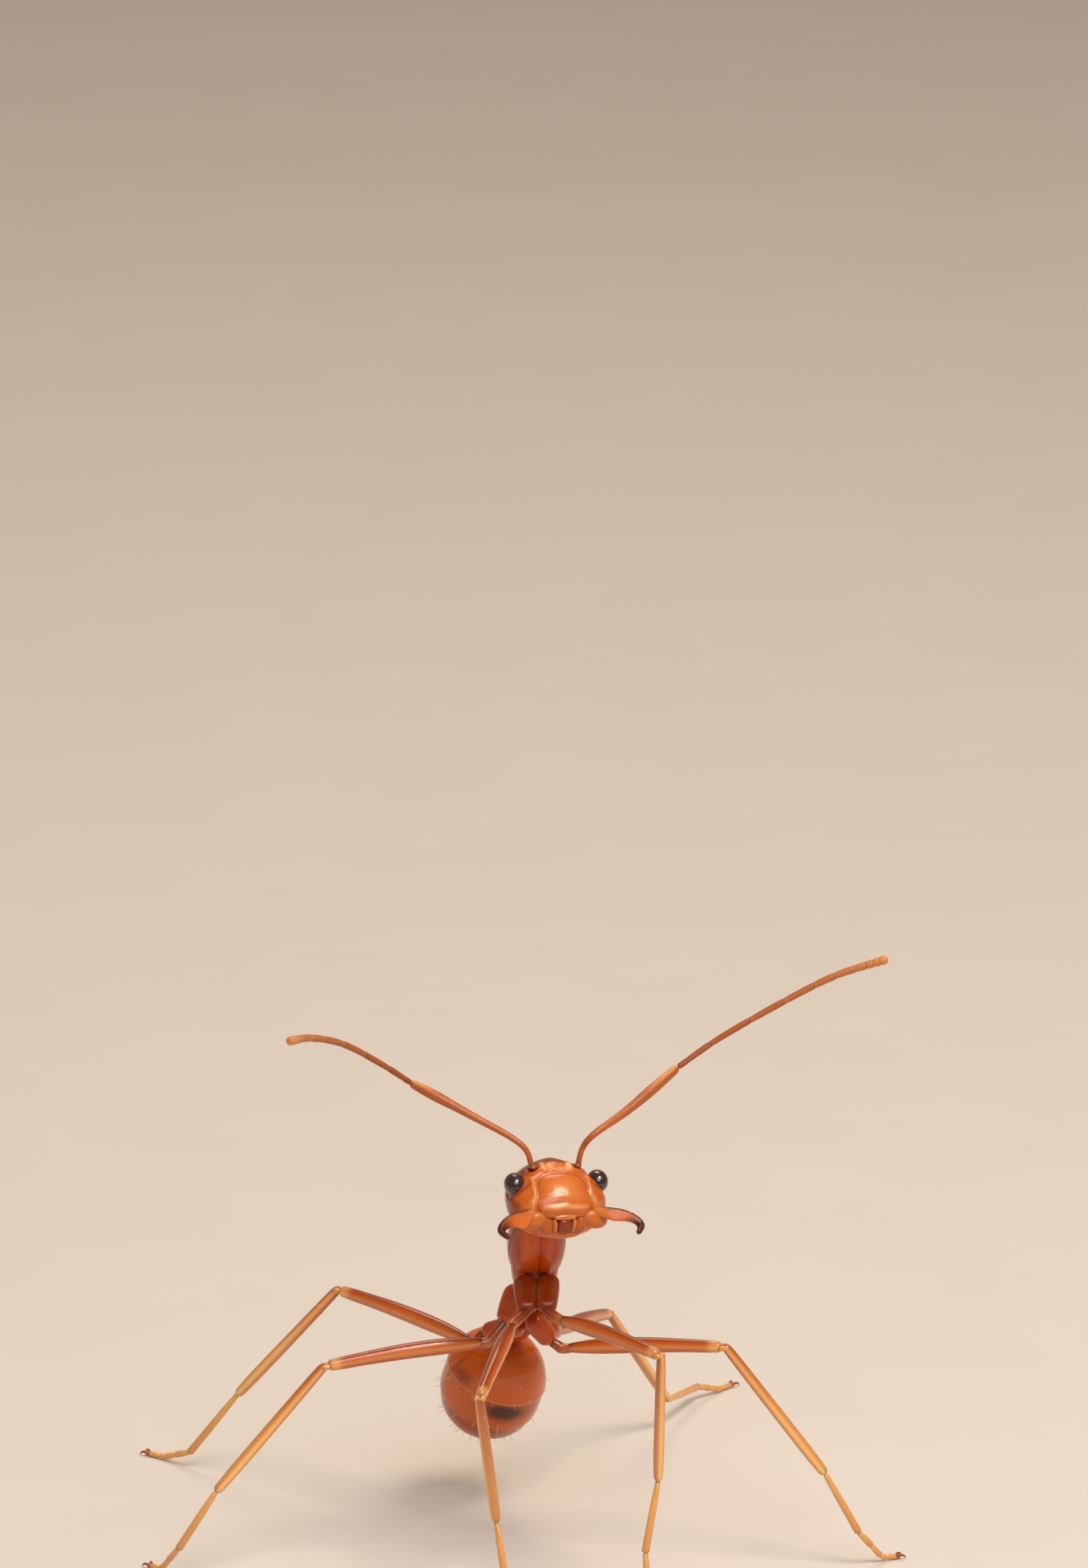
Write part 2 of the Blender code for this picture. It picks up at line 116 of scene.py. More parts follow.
# Rows of hair between the plates' edges: share of the length, number of hairs, their length
GASTER_HAIR_ROWS = ((0.22, 7, 0.10), (0.62, 9, 0.10), (0.83, 9, 0.12), (0.955, 10, 0.15))
GAP = 0.03

# Feelers: the bends of the scape, then those of the funiculus
FEELER_LINES = {
    "left": (
        ((0.52, -0.67, 7.54), (0.72, -0.73, 7.80), (1.36, -0.36, 8.045), (2.35, 0.28, 8.51)),
        ((3.05, 0.35, 8.93), (4.10, 0.30, 9.50), (5.00, 0.22, 9.94), (5.88, 0.10, 10.22)),
    ),
    "right": (
        ((-0.52, -0.62, 7.66), (-1.30, -0.22, 8.10), (-2.19, 0.33, 8.54)),
        ((-2.72, -0.12, 9.02), (-3.50, -0.82, 9.66), (-4.18, -1.54, 10.06), (-4.68, -2.14, 10.24)),
    ),
}
SCAPE_RADII = (0.048, 0.047, 0.049, 0.053, 0.058, 0.064, 0.075, 0.090, 0.070)
# Shares of the funiculus that its eleven joints take, from the elbow to the tip
FUNICULUS_JOINTS = (0.05, 0.156, 0.169, 0.135, 0.139, 0.101, 0.098, 0.045, 0.035, 0.03, 0.042)

# Legs: place of each coxa (along the trunk, sideways, toward the belly), then the lengths of
# coxa, femur, tibia, heel joint and toes
ROWS = ("front", "middle", "hind")
COXA_PLACE = {
    "front": (1.40, 0.205, 0.45),
    "middle": (2.12, 0.24, 0.42),
    "hind": (2.76, 0.25, 0.36),
}
LEG_LENGTHS = {
    "front": (0.94, 2.48, 2.24, 1.19, 1.11),
    "middle": (0.84, 2.85, 2.78, 1.18, 0.84),
    "hind": (0.89, 3.03, 3.01, 1.49, 0.9),
}
# Heading and climb of coxa, femur, tibia and heel joint, then the toes' heading, in degrees
LEG_POSE = {
    ("front", "right"): ((28.2, -38.4), (25, -10.7), (-105.7, -82), (-18.9, -72.4), -4),
    ("front", "left"): ((-1.7, -31.1), (30.7, 0.3), (191.1, -87.2), (-47.5, -72.4), 0),
    ("middle", "right"): ((70.4, -40.4), (87.2, -3.6), (89.4, -48.4), (99.2, -57.8), 151.6),
    ("middle", "left"): ((83, -75.2), (62.1, 6.1), (73.9, -52.9), (78.9, -61.6), 105.1),
    ("hind", "right"): ((123.2, -26), (141.2, 5), (130.5, -48.6), (125, -52.6), 139),
    ("hind", "left"): ((158.7, -26.4), (149.8, -13.1), (137.4, -47.8), (146.6, -10), 126.9),
}
# Where each coxa starts and ends: across, along the trunk, toward its back
HIP_LINES = {
    ("front", "right"): ((-0.212, 1.49, -0.46), (-0.225, 1.57, -1.08)),
    ("front", "left"): ((0.168, 1.49, -0.46), (0.085, 1.51, -1.12)),
    ("middle", "right"): ((-0.31, 1.93, -0.26), (-0.54, 2.27, -0.69)),
    ("middle", "left"): ((-0.05, 2.45, -0.45), (0.27, 2.77, -0.71)),
    ("hind", "right"): ((-0.25, 2.76, -0.34), (-0.79, 3.13, -0.12)),
    ("hind", "left"): ((0.22, 2.80, -0.32), (0.40, 3.30, 0.0)),
}
# Half thickness of each length of a leg, from its base to its tip
COXA_RADII = (0.18, 0.20, 0.205, 0.20, 0.19, 0.175, 0.145)
TROCHANTER_RADII = (0.066, 0.082, 0.090, 0.094, 0.086, 0.070)
FEMUR_RADII = (0.068, 0.100, 0.120, 0.127, 0.126, 0.121, 0.113, 0.105, 0.100, 0.088)
TIBIA_RADII = (0.062, 0.064, 0.078, 0.086, 0.090, 0.093, 0.095, 0.096, 0.093, 0.078)
FEMUR_ARCH = 0.05
SPUR_LENGTH = {"front": 0.24, "middle": 0.17, "hind": 0.17}
SOLID_FOOT_HEIGHT = 0.18
LEAST_TOE_REACH = 0.35
TOE_RADIUS = 0.05
TOE_CUTS = (0.0, 0.26, 0.46, 0.62, 1.0)
# Bends of a claw, from its root: ahead, outward, up
CLAW_BENDS = ((0.07, 0.03, 0.035), (0.13, 0.05, 0.015), (0.155, 0.055, -0.03))

# Surface patterns, as real lengths. Two are drawn coarser than life so that they show: the net of
# cells is really about 0.01 across, and the facets of the eye are about 0.02
CELL_NET = 0.05
EYE_FACET = 0.026
TAN_DRIFT = 0.45
FINE_WAVES = 0.11
HAIR_DRIFT = 0.3
PAPER_PULP = 3.0
# Share of the unwrap that one hair takes, and the strips where the two jaws' hairs lie
HAIR_PATCH = 0.003
JAW_STRIP = 0.4

# Azimuth 0 is straight ahead of the ant and grows toward its left. Lamps: name, azimuth, height in
# degrees, distance and size in metres, power in watts, colour
CAMERA_AZIMUTH = -12.0
CAMERA_HEIGHT = 17.0
CAMERA_DISTANCE = 170.0
CAMERA_TARGET = Vector((0.458, 2.1225, 13.0))
CAMERA_LENS = 156.4
CAMERA_SENSOR = 24.0
CAMERA_NEAR = 0.005
FLOOR_HALF_SIZE = 1.5
AIR_COLOUR = "#F2DECA"
AIR_STRENGTH = 0.38
LAMP_AIM = Vector((0, 0, 5.0))
LAMPS = (
    ("key_softbox", 32, 62, 0.11, 0.04, 0.070, "#FFEED8"),
    ("back_softbox", 172, 56, 0.12, 0.06, 0.034, "#FFEEDC"),
    ("sky_round", 0, 48, 0.11, 0.074, 0.054, "#E6ECFF"),
)


# ---- small tools

def linear(hex_colour):
    """A colour written as sRGB hex, as the linear values that shaders take."""
    values = [int(hex_colour[place : place + 2], 16) / 255 for place in (1, 3, 5)]
    return [v / 12.92 if v <= 0.04045 else ((v + 0.055) / 1.055) ** 2.4 for v in values] + [1.0]


def step_up(low, high, value):
    """0 below low, 1 above high, and a smooth rise between them."""
    share = max(0.0, min(1.0, (value - low) / (high - low)))
    return share * share * (3 - 2 * share)


def bell(value, width):
    """1 at 0, falling away over width."""
    return math.exp(-((value / width) ** 2))


def smooth(values, share):
    """Value at share (0 to 1) of a smooth curve through equally spaced values."""
    at = max(0.0, min(1.0, share)) * (len(values) - 1)
    left = min(int(at), len(values) - 2)
    t = at - left
    before = values[left - 1] if left else values[0] * 2 - values[1]
    after = values[left + 2] if left + 2 < len(values) else values[-1] * 2 - values[-2]
    start, end = values[left], values[left + 1]
    bend = (end - before) * 0.5, (after - start) * 0.5
    return (
        start * (2 * t**3 - 3 * t**2 + 1)
        + bend[0] * (t**3 - 2 * t**2 + t)
        + end * (3 * t**2 - 2 * t**3)
        + bend[1] * (t**3 - t**2)
    )


def axes(origin, forward, up=UP):
    """Matrix whose Y runs along forward and Z as near up as it can, for a form at origin."""
    along = Vector(forward).normalized()
    side = along.cross(Vector(up)).normalized()
    rise = side.cross(along)
    made = Matrix((side, along, rise)).transposed().to_4x4()
    made.translation = Vector(origin)
    return made


def direction(heading, climb, side):
    """Unit vector at a heading outward from straight ahead, on the side given as +1 or -1."""
    turn, rise = math.radians(heading), math.radians(climb)
    level = math.cos(rise)
    return Vector((side * math.sin(turn) * level, -math.cos(turn) * level, math.sin(rise)))


def head_axes():
    """Matrix of the head: X across to its left, Y forward, Z up."""
    yaw, drop, roll = (math.radians(angle) for angle in (HEAD_YAW, HEAD_DROP, HEAD_ROLL))
    level = math.cos(drop)
    forward = Vector((math.sin(yaw) * level, -math.cos(yaw) * level, -math.sin(drop)))
    left = Vector((math.cos(yaw), math.sin(yaw), 0))
    rise = forward.cross(left)
    tilted = left * math.cos(roll) + rise * math.sin(roll)
    made = Matrix((tilted, forward, forward.cross(tilted))).transposed().to_4x4()
    made.translation = HEAD_CENTRE
    return made


HEAD = head_axes()
TRUNK = axes(NECK, TRUNK_DIRECTION)


def on_head(sign, spot, rise=0.0):
    """A place given in the head's axes, on the side of the sign."""
    return HEAD @ Vector((sign * spot[0], spot[1], spot[2] + rise))


# The left eye's middle is where both frames meet
EYE_LOW, EYE_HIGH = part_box("eye_left")
HOME = (EYE_LOW + EYE_HIGH) / 2 / MM - on_head(1, EYE_PLACE)


# ---- forms

def plain(_along, _turn):
    """The shell's own tan: neither darker nor paler."""
    return 0.0, 0.0


def new_form():
    """An empty mesh whose points carry how dark and how pale the shell is there."""
    mesh = bmesh.new()
    mesh.verts.layers.float.new("dark")
    mesh.verts.layers.float.new("pale")
    return mesh


def draw_out(mesh, sides, rings, where, tone):
    """A ball whose points are carried to a form: share runs from pole to pole, turn goes round it."""
    dark = mesh.verts.layers.float["dark"]
    pale = mesh.verts.layers.float["pale"]
    ball = bmesh.ops.create_uvsphere(mesh, u_segments=sides, v_segments=rings, radius=1.0)["verts"]
    for vert in ball:
        share = math.acos(max(-1.0, min(1.0, vert.co.z))) / math.pi
        turn = math.atan2(vert.co.y, vert.co.x)
        vert.co = where(share, turn)
        vert[dark], vert[pale] = tone(share, turn)
    return ball


def ease(share):
    """Spaces rings closely at both ends, where a form rounds over to its pole."""
    return 0.5 - 0.5 * math.cos(math.pi * share)


def closing(share, start, end):
    """Factor that rounds a form over to a point within start and end of its two ends, 0 for neither."""
    near = min(1.0, share / start) if start else 1.0
    far = min(1.0, (1 - share) / end) if end else 1.0
    return math.sqrt(max(0.0, 1 - (1 - near) ** 2)) * math.sqrt(max(0.0, 1 - (1 - far) ** 2))


def oval(turn, half_width, top, bottom, squareness=0.9):
    """A point of a rounded section: across and up."""
    x, z = math.cos(turn), math.sin(turn)
    x = math.copysign(abs(x) ** squareness, x) * half_width
    z = math.copysign(abs(z) ** squareness, z) * (top if z > 0 else bottom)
    return x, z


def frames_along(line, rings, up):
    """Axes at each ring of a smooth line, closest together at its ends, each with Y along it."""
    path = [smooth(line, ease(step / rings)) for step in range(rings + 1)]
    return [
        axes(point, path[min(step + 1, rings)] - path[max(step - 1, 0)], up)
        for step, point in enumerate(path)
    ]


def limb(mesh, line, radii, tone, sides=20, rings=48, ends=(0.9, 0.9), flat=1.0, up=UP, shape=None):
    """A rounded length on a smooth line; shape can press or swell its wall, tone says its shade."""
    frames = frames_along(line, rings, up)
    length = sum((b.translation - a.translation).length for a, b in zip(frames, frames[1:]))
    caps = ends[0] * radii[0] / length, ends[1] * radii[-1] / length

    def where(share, turn):
        frame_here = frames[round(share * rings)]
        along = ease(share)
        half = smooth(radii, along) * closing(along, *caps)
        if shape:
            half *= shape(along, turn)
        return frame_here @ Vector((math.cos(turn) * half, 0, math.sin(turn) * half * flat))

    return draw_out(mesh, sides, rings, where, lambda share, turn: tone(ease(share), turn))


def piece(name, mesh, material, slot, *nodes):
    """Puts a finished form where the solids are, as a piece that rides on the ant."""
    bmesh.ops.remove_doubles(mesh, verts=mesh.verts, dist=1e-5)
    bmesh.ops.recalc_face_normals(mesh, faces=mesh.faces)
    bmesh.ops.translate(mesh, vec=HOME, verts=mesh.verts)
    bmesh.ops.scale(mesh, vec=(MM, MM, MM), verts=mesh.verts)
    data = bpy.data.meshes.new(name)
    mesh.to_mesh(data)
    mesh.free()
    data.shade_smooth()
    data.materials.append(material)
    made = bpy.data.objects.new(name, data)
    bpy.context.scene.collection.objects.link(made)
    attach(made, "root")
    if nodes:
        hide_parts(*nodes)


# ---- materials

RGBA = {"data_type": "RGBA"}


def fill(node, **inputs):
    """Fills or links a node's inputs, each by its name or by its number, as in i6."""
    for key, value in inputs.items():
        numbered = key[0] == "i" and key[1:].isdigit()
        socket = node.inputs[int(key[1:]) if numbered else key.replace("_", " ")]
        if isinstance(value, bpy.types.NodeSocket):
            node.id_data.links.new(value, socket)
        else:
            socket.default_value = value
    return node


def add(nodes, kind, settings=None, **inputs):
    """Adds a node, sets its properties and fills its inputs."""
    node = nodes.new("ShaderNode" + kind)
    for key, value in (settings or {}).items():
        setattr(node, key, value)
    return fill(node, **inputs)


def new_material(name):
    """A material, its nodes, its surface shader, and the place on the object that patterns read."""
    made = bpy.data.materials.new(name)
    made.use_nodes = True
    nodes = made.node_tree.nodes
    place = add(nodes, "TexCoord").outputs["Object"]
    return made, nodes, nodes["Principled BSDF"], place


def drifting(nodes, place, size, first, second, detail=3.0):
    """Two colours that drift into each other over about this many millimetres."""
    cloud = add(nodes, "TexNoise", Vector=place, Scale=1 / (size * MM), Detail=detail)
    colours = {"i6": linear(first), "i7": linear(second)}
    return add(nodes, "Mix", RGBA, i0=cloud.outputs["Fac"], **colours).outputs[2]


def cuticle(name, body, deep, dark, pale, gloss=0.24, glow=0.25, relief=0.25, coat=0.15):
    """Ant shell: clear hard outer skin over translucent tanned layers, with a fine net of cells.

    body and deep are the two tans that drift into each other; dark is thick shell and painted shade,
    pale is thin shell and painted highlight. Light sinks in about 0.3 mm and comes out redder.
    """
    made, nodes, shader, place = new_material(name)
    tan = drifting(nodes, place, TAN_DRIFT, body, deep)
    # The dark and pale marks carry painted shade and painted highlights as well as thick and thin shell
    thick = add(nodes, "Attribute", {"attribute_name": "dark"}).outputs["Fac"]
    thin = add(nodes, "Attribute", {"attribute_name": "pale"}).outputs["Fac"]
    darker = add(nodes, "Mix", RGBA, i0=thick, i6=tan, i7=linear(dark))
    colour = add(nodes, "Mix", RGBA, i0=thin, i6=darker.outputs[2], i7=linear(pale))
    edges = {"feature": "DISTANCE_TO_EDGE"}
    cells = add(nodes, "TexVoronoi", edges, Vector=place, Scale=1 / (CELL_NET * MM))
    fine = add(nodes, "TexNoise", Vector=place, Scale=1 / (FINE_WAVES * MM), Detail=4.0)
    range_of_gloss = {"To_Min": gloss * 0.75, "To_Max": gloss * 1.35}
    uneven = add(nodes, "MapRange", Value=fine.outputs["Fac"], **range_of_gloss)
    net_depth = {"Strength": relief, "Distance": 0.004 * MM}
    net = add(nodes, "Bump", Height=cells.outputs["Distance"], **net_depth)
    wave_depth = {"Strength": relief, "Distance": 0.02 * MM}
    waves = add(nodes, "Bump", Height=fine.outputs["Fac"], Normal=net.outputs[0], **wave_depth)
    fill(
        shader,
        Base_Color=colour.outputs[2],
        Roughness=uneven.outputs["Result"],
        Normal=waves.outputs["Normal"],
        IOR=1.45,
        Subsurface_Weight=glow,
        Subsurface_Radius=(1.0, 0.30, 0.08),
        Subsurface_Scale=0.30 * MM,
        Coat_Weight=coat,
        Coat_Roughness=0.08,
    )
    return made


def head_cuticle():
    """Tanned chitin, smooth and cast over the head in one capsule: bright orange, redder where thick
    and where shade is painted.
    """
    return cuticle("chitin_head_orange", "#CC681E", "#BE5814", "#7E2204", "#FFBC74", gloss=0.21)


def trunk_cuticle():
    """Tanned chitin in thick plates: red-brown, with a dull satin net."""
    return cuticle("chitin_trunk_red", "#D25208", "#B83E04", "#6C1C00", "#F09A44", gloss=0.24)


def leg_cuticle():
    """Tanned chitin in thin tubes: amber, lets light through at the knees and edges."""
    return cuticle("chitin_leg_amber", "#C86014", "#B44E0C", "#642206", "#FFCE80", gloss=0.21, coat=0.4)


def feeler_cuticle():
    """Tanned chitin in fine tubes under short down, so that its gloss is soft."""
    return cuticle("chitin_feeler_brown", "#B8642C", "#A6541E", "#7A3614", "#F2B468", gloss=0.38)


def gaster_cuticle():
    """Tanned chitin in wide overlapping plates, with dark patches, some of them painted shade."""
    tones = ("#D86406", "#C65602", "#441400", "#E8A860")
    return cuticle("chitin_gaster_brown", *tones, gloss=0.19, glow=0.18, coat=0.3)


def jaw_cuticle():
    """Zinc-hardened chitin: the edge and teeth nearly black-red, the base amber."""
    tones = ("#CE6C20", "#BC5A14", "#4E1404", "#EFA658")
    return cuticle("chitin_jaw_hardened", *tones, gloss=0.34, relief=0.10, coat=0.1)


def eye_lens():
    """Clear lens facets over dark pigment: a black-brown gloss broken by hundreds of tiny domes."""
    made, nodes, shader, place = new_material("lens_facets_dark")
    packing = {"Scale": 1 / (EYE_FACET * MM), "Randomness": 0.25}
    facets = add(nodes, "TexVoronoi", {"feature": "F1"}, Vector=place, **packing)
    away = facets.outputs["Distance"]
    ring = add(nodes, "MapRange", Value=away, From_Min=0.2, From_Max=0.6)
    pigments = {"i6": linear("#40190F"), "i7": linear("#1E0C08")}
    tint = add(nodes, "Mix", RGBA, i0=ring.outputs["Result"], **pigments)
    dome_height = {"Strength": 0.12, "Distance": 0.004 * MM}
    domes = add(nodes, "Bump", {"invert": True}, Height=away, **dome_height)
    fill(shader, Base_Color=tint.outputs[2], Normal=domes.outputs["Normal"])
    fill(shader, Roughness=0.22, IOR=1.5, Coat_Weight=1.0, Coat_Roughness=0.10)
    return made


def bristle():
    """Clear hollow hair shafts: pale gold where light runs through them."""
    made, nodes, shader, place = new_material("chitin_bristle_pale")
    gold = drifting(nodes, place, HAIR_DRIFT, "#F4D9A6", "#E8B87A", detail=2.0)
    fill(shader, Base_Color=gold, Roughness=0.3, IOR=1.55)
    return made


def floor_paper():
    """Matt pressed paper, faintly mottled by its pulp: a calm pale ground that takes the shadows."""
    made, nodes, shader, place = new_material("matt_paper_pale")
    pulp = drifting(nodes, place, PAPER_PULP, "#DCD6CE", "#D8D1C8")
    fill(shader, Base_Color=pulp, Roughness=0.9)
    return made


# ---- head

def head_skin(share, turn):
    """A point of the bare head capsule, in the head's own axes."""
    along = ease(share)
    half = closing(along, 0.05, 0.07)
    width, top, bottom = (smooth(row, along) * half for row in (HEAD_WIDTHS, HEAD_TOPS, HEAD_BOTTOMS))
    square = 1.32 - 0.50 * step_up(0.22, 0.8, along) if math.sin(turn) > 0 else 0.84
    x, z = oval(turn, width, top, bottom, square)
    return Vector((x, HEAD_BACK + (HEAD_LIP - HEAD_BACK) * along, z))


def face_plate(x, y, z):
    """The face plate: a dome in a fine groove, a ridge down each side and a seat for each jaw, with
    painted highlights on the ridges and seats.
    """
    half_width = 0.41 + 0.09 * step_up(0.40, 0.66, y)
    forward = abs((y - CLYPEUS_MIDDLE) / CLYPEUS_HALF_LENGTH)
    # 1 on the plate's margin, less inside it
    reach = ((x / half_width) ** 3 + forward**3) ** (1 / 3)
    ridge = bell(x - 0.475, 0.035) * step_up(0.05, 0.2, y) * step_up(0.60, 0.45, y)
    seat = bell(math.hypot(x - JAW_SEAT[0], y - JAW_SEAT[1]), 0.06)
    out = 0.06 * max(0.0, 1 - reach**2) * step_up(-0.05, 0.15, z) - 0.022 * bell(reach - 1.03, 0.05)
    # Pale on the ridges and the jaw seats is painted highlight
    pale = 0.18 * step_up(1.0, 0.2, reach) + 0.35 * ridge + 0.4 * seat
    return out + 0.028 * ridge + 0.02 * seat, 0.50 * bell(reach - 1.04, 0.05), pale


def sockets(x, y, _):
    """Sockets of the feelers, each with a raised rim, and a ridge between each and the middle; painted
    shade in each socket, painted highlights on the ridges and the strip between them.
    """
    away = math.hypot(x - SOCKET[0], y - SOCKET[1])
    ridge = bell(x - 0.225, 0.035) * step_up(-0.30, -0.18, y) * step_up(0.12, 0.04, y)
    out = 0.028 * bell(away - 0.11, 0.035) - 0.07 * bell(away, 0.065) + 0.032 * ridge
    out -= 0.02 * bell(x, 0.16) * bell(y - 0.03, 0.12)
    # Painted shade in each socket's hollow
    dark = 0.75 * bell(away, 0.095) + 0.45 * bell(math.hypot(x - 0.56, (y + 0.10) * 1.2), 0.13)
    # Painted highlights on the ridges and on the strip between the sockets
    return out, dark, 0.55 * ridge + 0.16 * step_up(0.26, 0.20, x) * bell(y + 0.01, 0.085)


def front_step(x, y, z):
    """The step in front of the face plate, the lip under it, and the hollow of the mouth, with painted
    shade in the groove and the hollow and painted highlights on the step's edge and the lip.
    """
    front = step_up(0.62, 0.74, y) * step_up(0.48, 0.36, x)
    shelf = z - CLYPEUS_SHELF - 0.02 * bell(x, 0.10)
    mouth = step_up(0.66, 0.74, y) * step_up(0.40, 0.30, x)
    mouth *= step_up(0.06, 0.0, z) * step_up(-0.36, -0.26, z)
    out = 0.03 * bell(shelf, 0.03) - 0.035 * bell(shelf + 0.06, 0.02) + 0.045 * bell(shelf + 0.13, 0.04)
    # Painted shade in the groove under the step and in the mouth's hollow
    dark = front * 0.55 * bell(shelf + 0.06, 0.018) + 0.6 * mouth
    # Painted highlights on the step's edge and on the lip below it
    pale = front * (0.35 * bell(shelf, 0.03) + 0.70 * bell(shelf + 0.13, 0.035))
    return front * out - 0.06 * mouth, dark, pale


def cheek(x, y, z):
    """A shallow seat round the eye, with painted shade in it and on the cheek's side below it, and a
    painted pool of light on the cheek in front of it.
    """
    rim = math.hypot((y - EYE_PLACE[1]) / 0.24, (z - EYE_PLACE[2]) / 0.22) - 1.0
    # Painted shade on the side of the cheek below the eye
    below = step_up(0.70, 0.755, x) * step_up(0.22, 0.12, z) * step_up(0.60, 0.50, y)
    # Painted pool of light on the front of the cheek
    bright = bell(x - 0.60, 0.075) * step_up(0.24, 0.14, z) * step_up(0.05, 0.2, y)
    return -0.02 * bell(rim, 0.12), 0.6 * bell(rim, 0.16) + 0.62 * below, 0.32 * bright


def chin(x, y, z):
    """The seam under the chin, and pale skin behind the lip."""
    seam = bell(x, 0.03) * step_up(0.60, 0.40, y)
    return -0.025 * seam, 0.4 * seam, 0.45 * step_up(0.45, 0.66, y) * step_up(-0.30, -0.40, z)


def head_detail(point):
    """How far the wall stands out (in mm) and how dark and pale it is, at a point of the bare head."""
    x, y, z = abs(point.x), point.y, point.z
    # Painted shade: the back of the head is redder and darker, as its edges look in shade
    parts = [(0.0, 0.85 * step_up(-0.11, -0.20, y), 0.0)]
    for reached, detail in (
        (z > -0.05 and y < 0.735, face_plate),
        (z > 0, sockets),
        (y > 0.60, front_step),
        (x > 0.5, cheek),
        (z < 0, chin),
    ):
        if reached:
            parts.append(detail(x, y, z))
    out, dark, pale = (sum(values) for values in zip(*parts))
    return out, min(0.92, dark), min(1.0, pale)


def build_head(shell):
    """The head capsule: a soft box, widest at the eyes, with its relief pushed out from the middle."""
    mesh = new_form()
    centre = Vector((0, 0.0, 0.02))

    def where(share, turn):
        bare = head_skin(share, turn)
        lean = bare - centre
        forward = lean.y / 0.9 * (1.0 if bare.y > 0.55 else 0.35)
        normal = Vector((lean.x / 0.66, forward, lean.z / 0.3)).normalized()
        return HEAD @ (bare + normal * head_detail(bare)[0])

    def tone(share, turn):
        return head_detail(head_skin(share, turn))[1:]

    draw_out(mesh, 200, 150, where, tone)
    piece("head_capsule", mesh, shell, "head_shell", "head")


def build_eyes(lens):
    """Bulging compound eyes, a little longer than high."""
    for side, sign in SIDES:
        mesh = new_form()
        ball = bmesh.ops.create_icosphere(mesh, subdivisions=5, radius=1.0)["verts"]
        bmesh.ops.scale(mesh, vec=EYE_HALF_SIZE, verts=ball)
        spot = Vector((sign * EYE_PLACE[0], EYE_PLACE[1], EYE_PLACE[2]))
        bmesh.ops.transform(mesh, matrix=HEAD @ Matrix.Translation(spot), verts=ball)
        piece(f"compound_eye_{side}", mesh, lens, "eye_lens", f"eye_{side}")


def lobe(mesh, spot, half_size, lean=0.0, dark=0.0, pale=0.0, square=1.0):
    """A rounded swelling at a place in the head's axes, leaning sideways, paler toward its ends."""
    turned = Matrix.Translation(Vector(spot)) @ Matrix.Rotation(lean, 4, "Y")

    def where(share, turn):
        ring = math.sin(math.pi * share)
        local = (ring * math.cos(turn), ring * math.sin(turn), math.cos(math.pi * share))
        bent = [math.copysign(abs(v) ** square, v) * half for v, half in zip(local, half_size)]
        return HEAD @ (turned @ Vector(bent))

    def tone(share, turn):
        return dark, pale * (0.4 + 0.6 * step_up(0.45, 0.95, abs(math.cos(turn))))

    draw_out(mesh, 36, 28, where, tone)


def build_mandible(side, sign, shell):
    """An open jaw: a swollen base, then a rounded outer horn that thins to a toothed blade inside."""
    mesh = new_form()
    lobe(mesh, (sign * 0.525, 0.64, -0.05), (0.25, 0.15, 0.17), lean=sign * 0.35, pale=0.10)
    line = [on_head(sign, bend) for bend in MANDIBLE_LINE]
    inward = (HEAD.to_3x3() @ Vector((sign * -0.5, 0.6, -0.35))).normalized()
    rings = 120
    frames = frames_along(line, rings, -inward)

    def where(share, turn):
        along = ease(share)
        round_end = closing(along, 0.03, 0.04)
        half = smooth(JAW_RADII, along) * round_end
        blade = smooth(JAW_BLADE, along) * (0.76 - 0.24 * sign)
        teeth = 0.014 * step_up(0.30, 0.40, along) * step_up(0.93, 0.85, along)
        bite = abs(math.sin(along * math.pi * 15))
        x, z = math.cos(turn), math.sin(turn)
        if z < 0:
            x *= 1 - 0.70 * abs(z) ** 0.7 * min(1.0, blade / 0.1)
            z *= 1 + (blade * round_end + teeth * bite) / max(half, 0.01)
        return frames[round(share * rings)] @ Vector((x * half, 0, z * half))

    def tone(share, turn):
        along = ease(share)
        outer = step_up(-0.15, 0.45, math.sin(turn))
        dark = max(step_up(0.40, 0.75, along), outer * step_up(0.04, 0.22, along))
        return dark, 0.45 * step_up(0.3, 0.0, along) * (1 - outer)

    draw_out(mesh, 40, rings, where, tone)
    piece(f"jaw_{side}", mesh, shell, "jaw_shell", f"mandible_{side}")


def build_mouth(shell):
    """Lip, the lobes of the folded mouthparts and the darker plate between them."""
    mesh = new_form()
    lobe(mesh, (0.0, 0.70, -0.11), (0.125, 0.12, 0.135), dark=0.85, square=0.7)
    lobe(mesh, (0.0, 0.715, 0.05), (0.19, 0.07, 0.055), dark=0.05, pale=0.45, square=0.85)
    for sign in (1, -1):
        inner, outer = (sign * 0.158, 0.705, -0.12), (sign * 0.290, 0.645, -0.13)
        lobe(mesh, inner, (0.040, 0.10, 0.135), lean=sign * 0.10, pale=0.40, square=0.85)
        lobe(mesh, outer, (0.150, 0.13, 0.19), lean=sign * 0.35, dark=0.16, square=0.95)
    lobe(mesh, (0.0, 0.60, -0.30), (0.36, 0.15, 0.105), dark=0.05, pale=0.30, square=0.9)
    piece("mouthparts_folded", mesh, shell, "head_shell", "mouthparts")


# ---- feelers

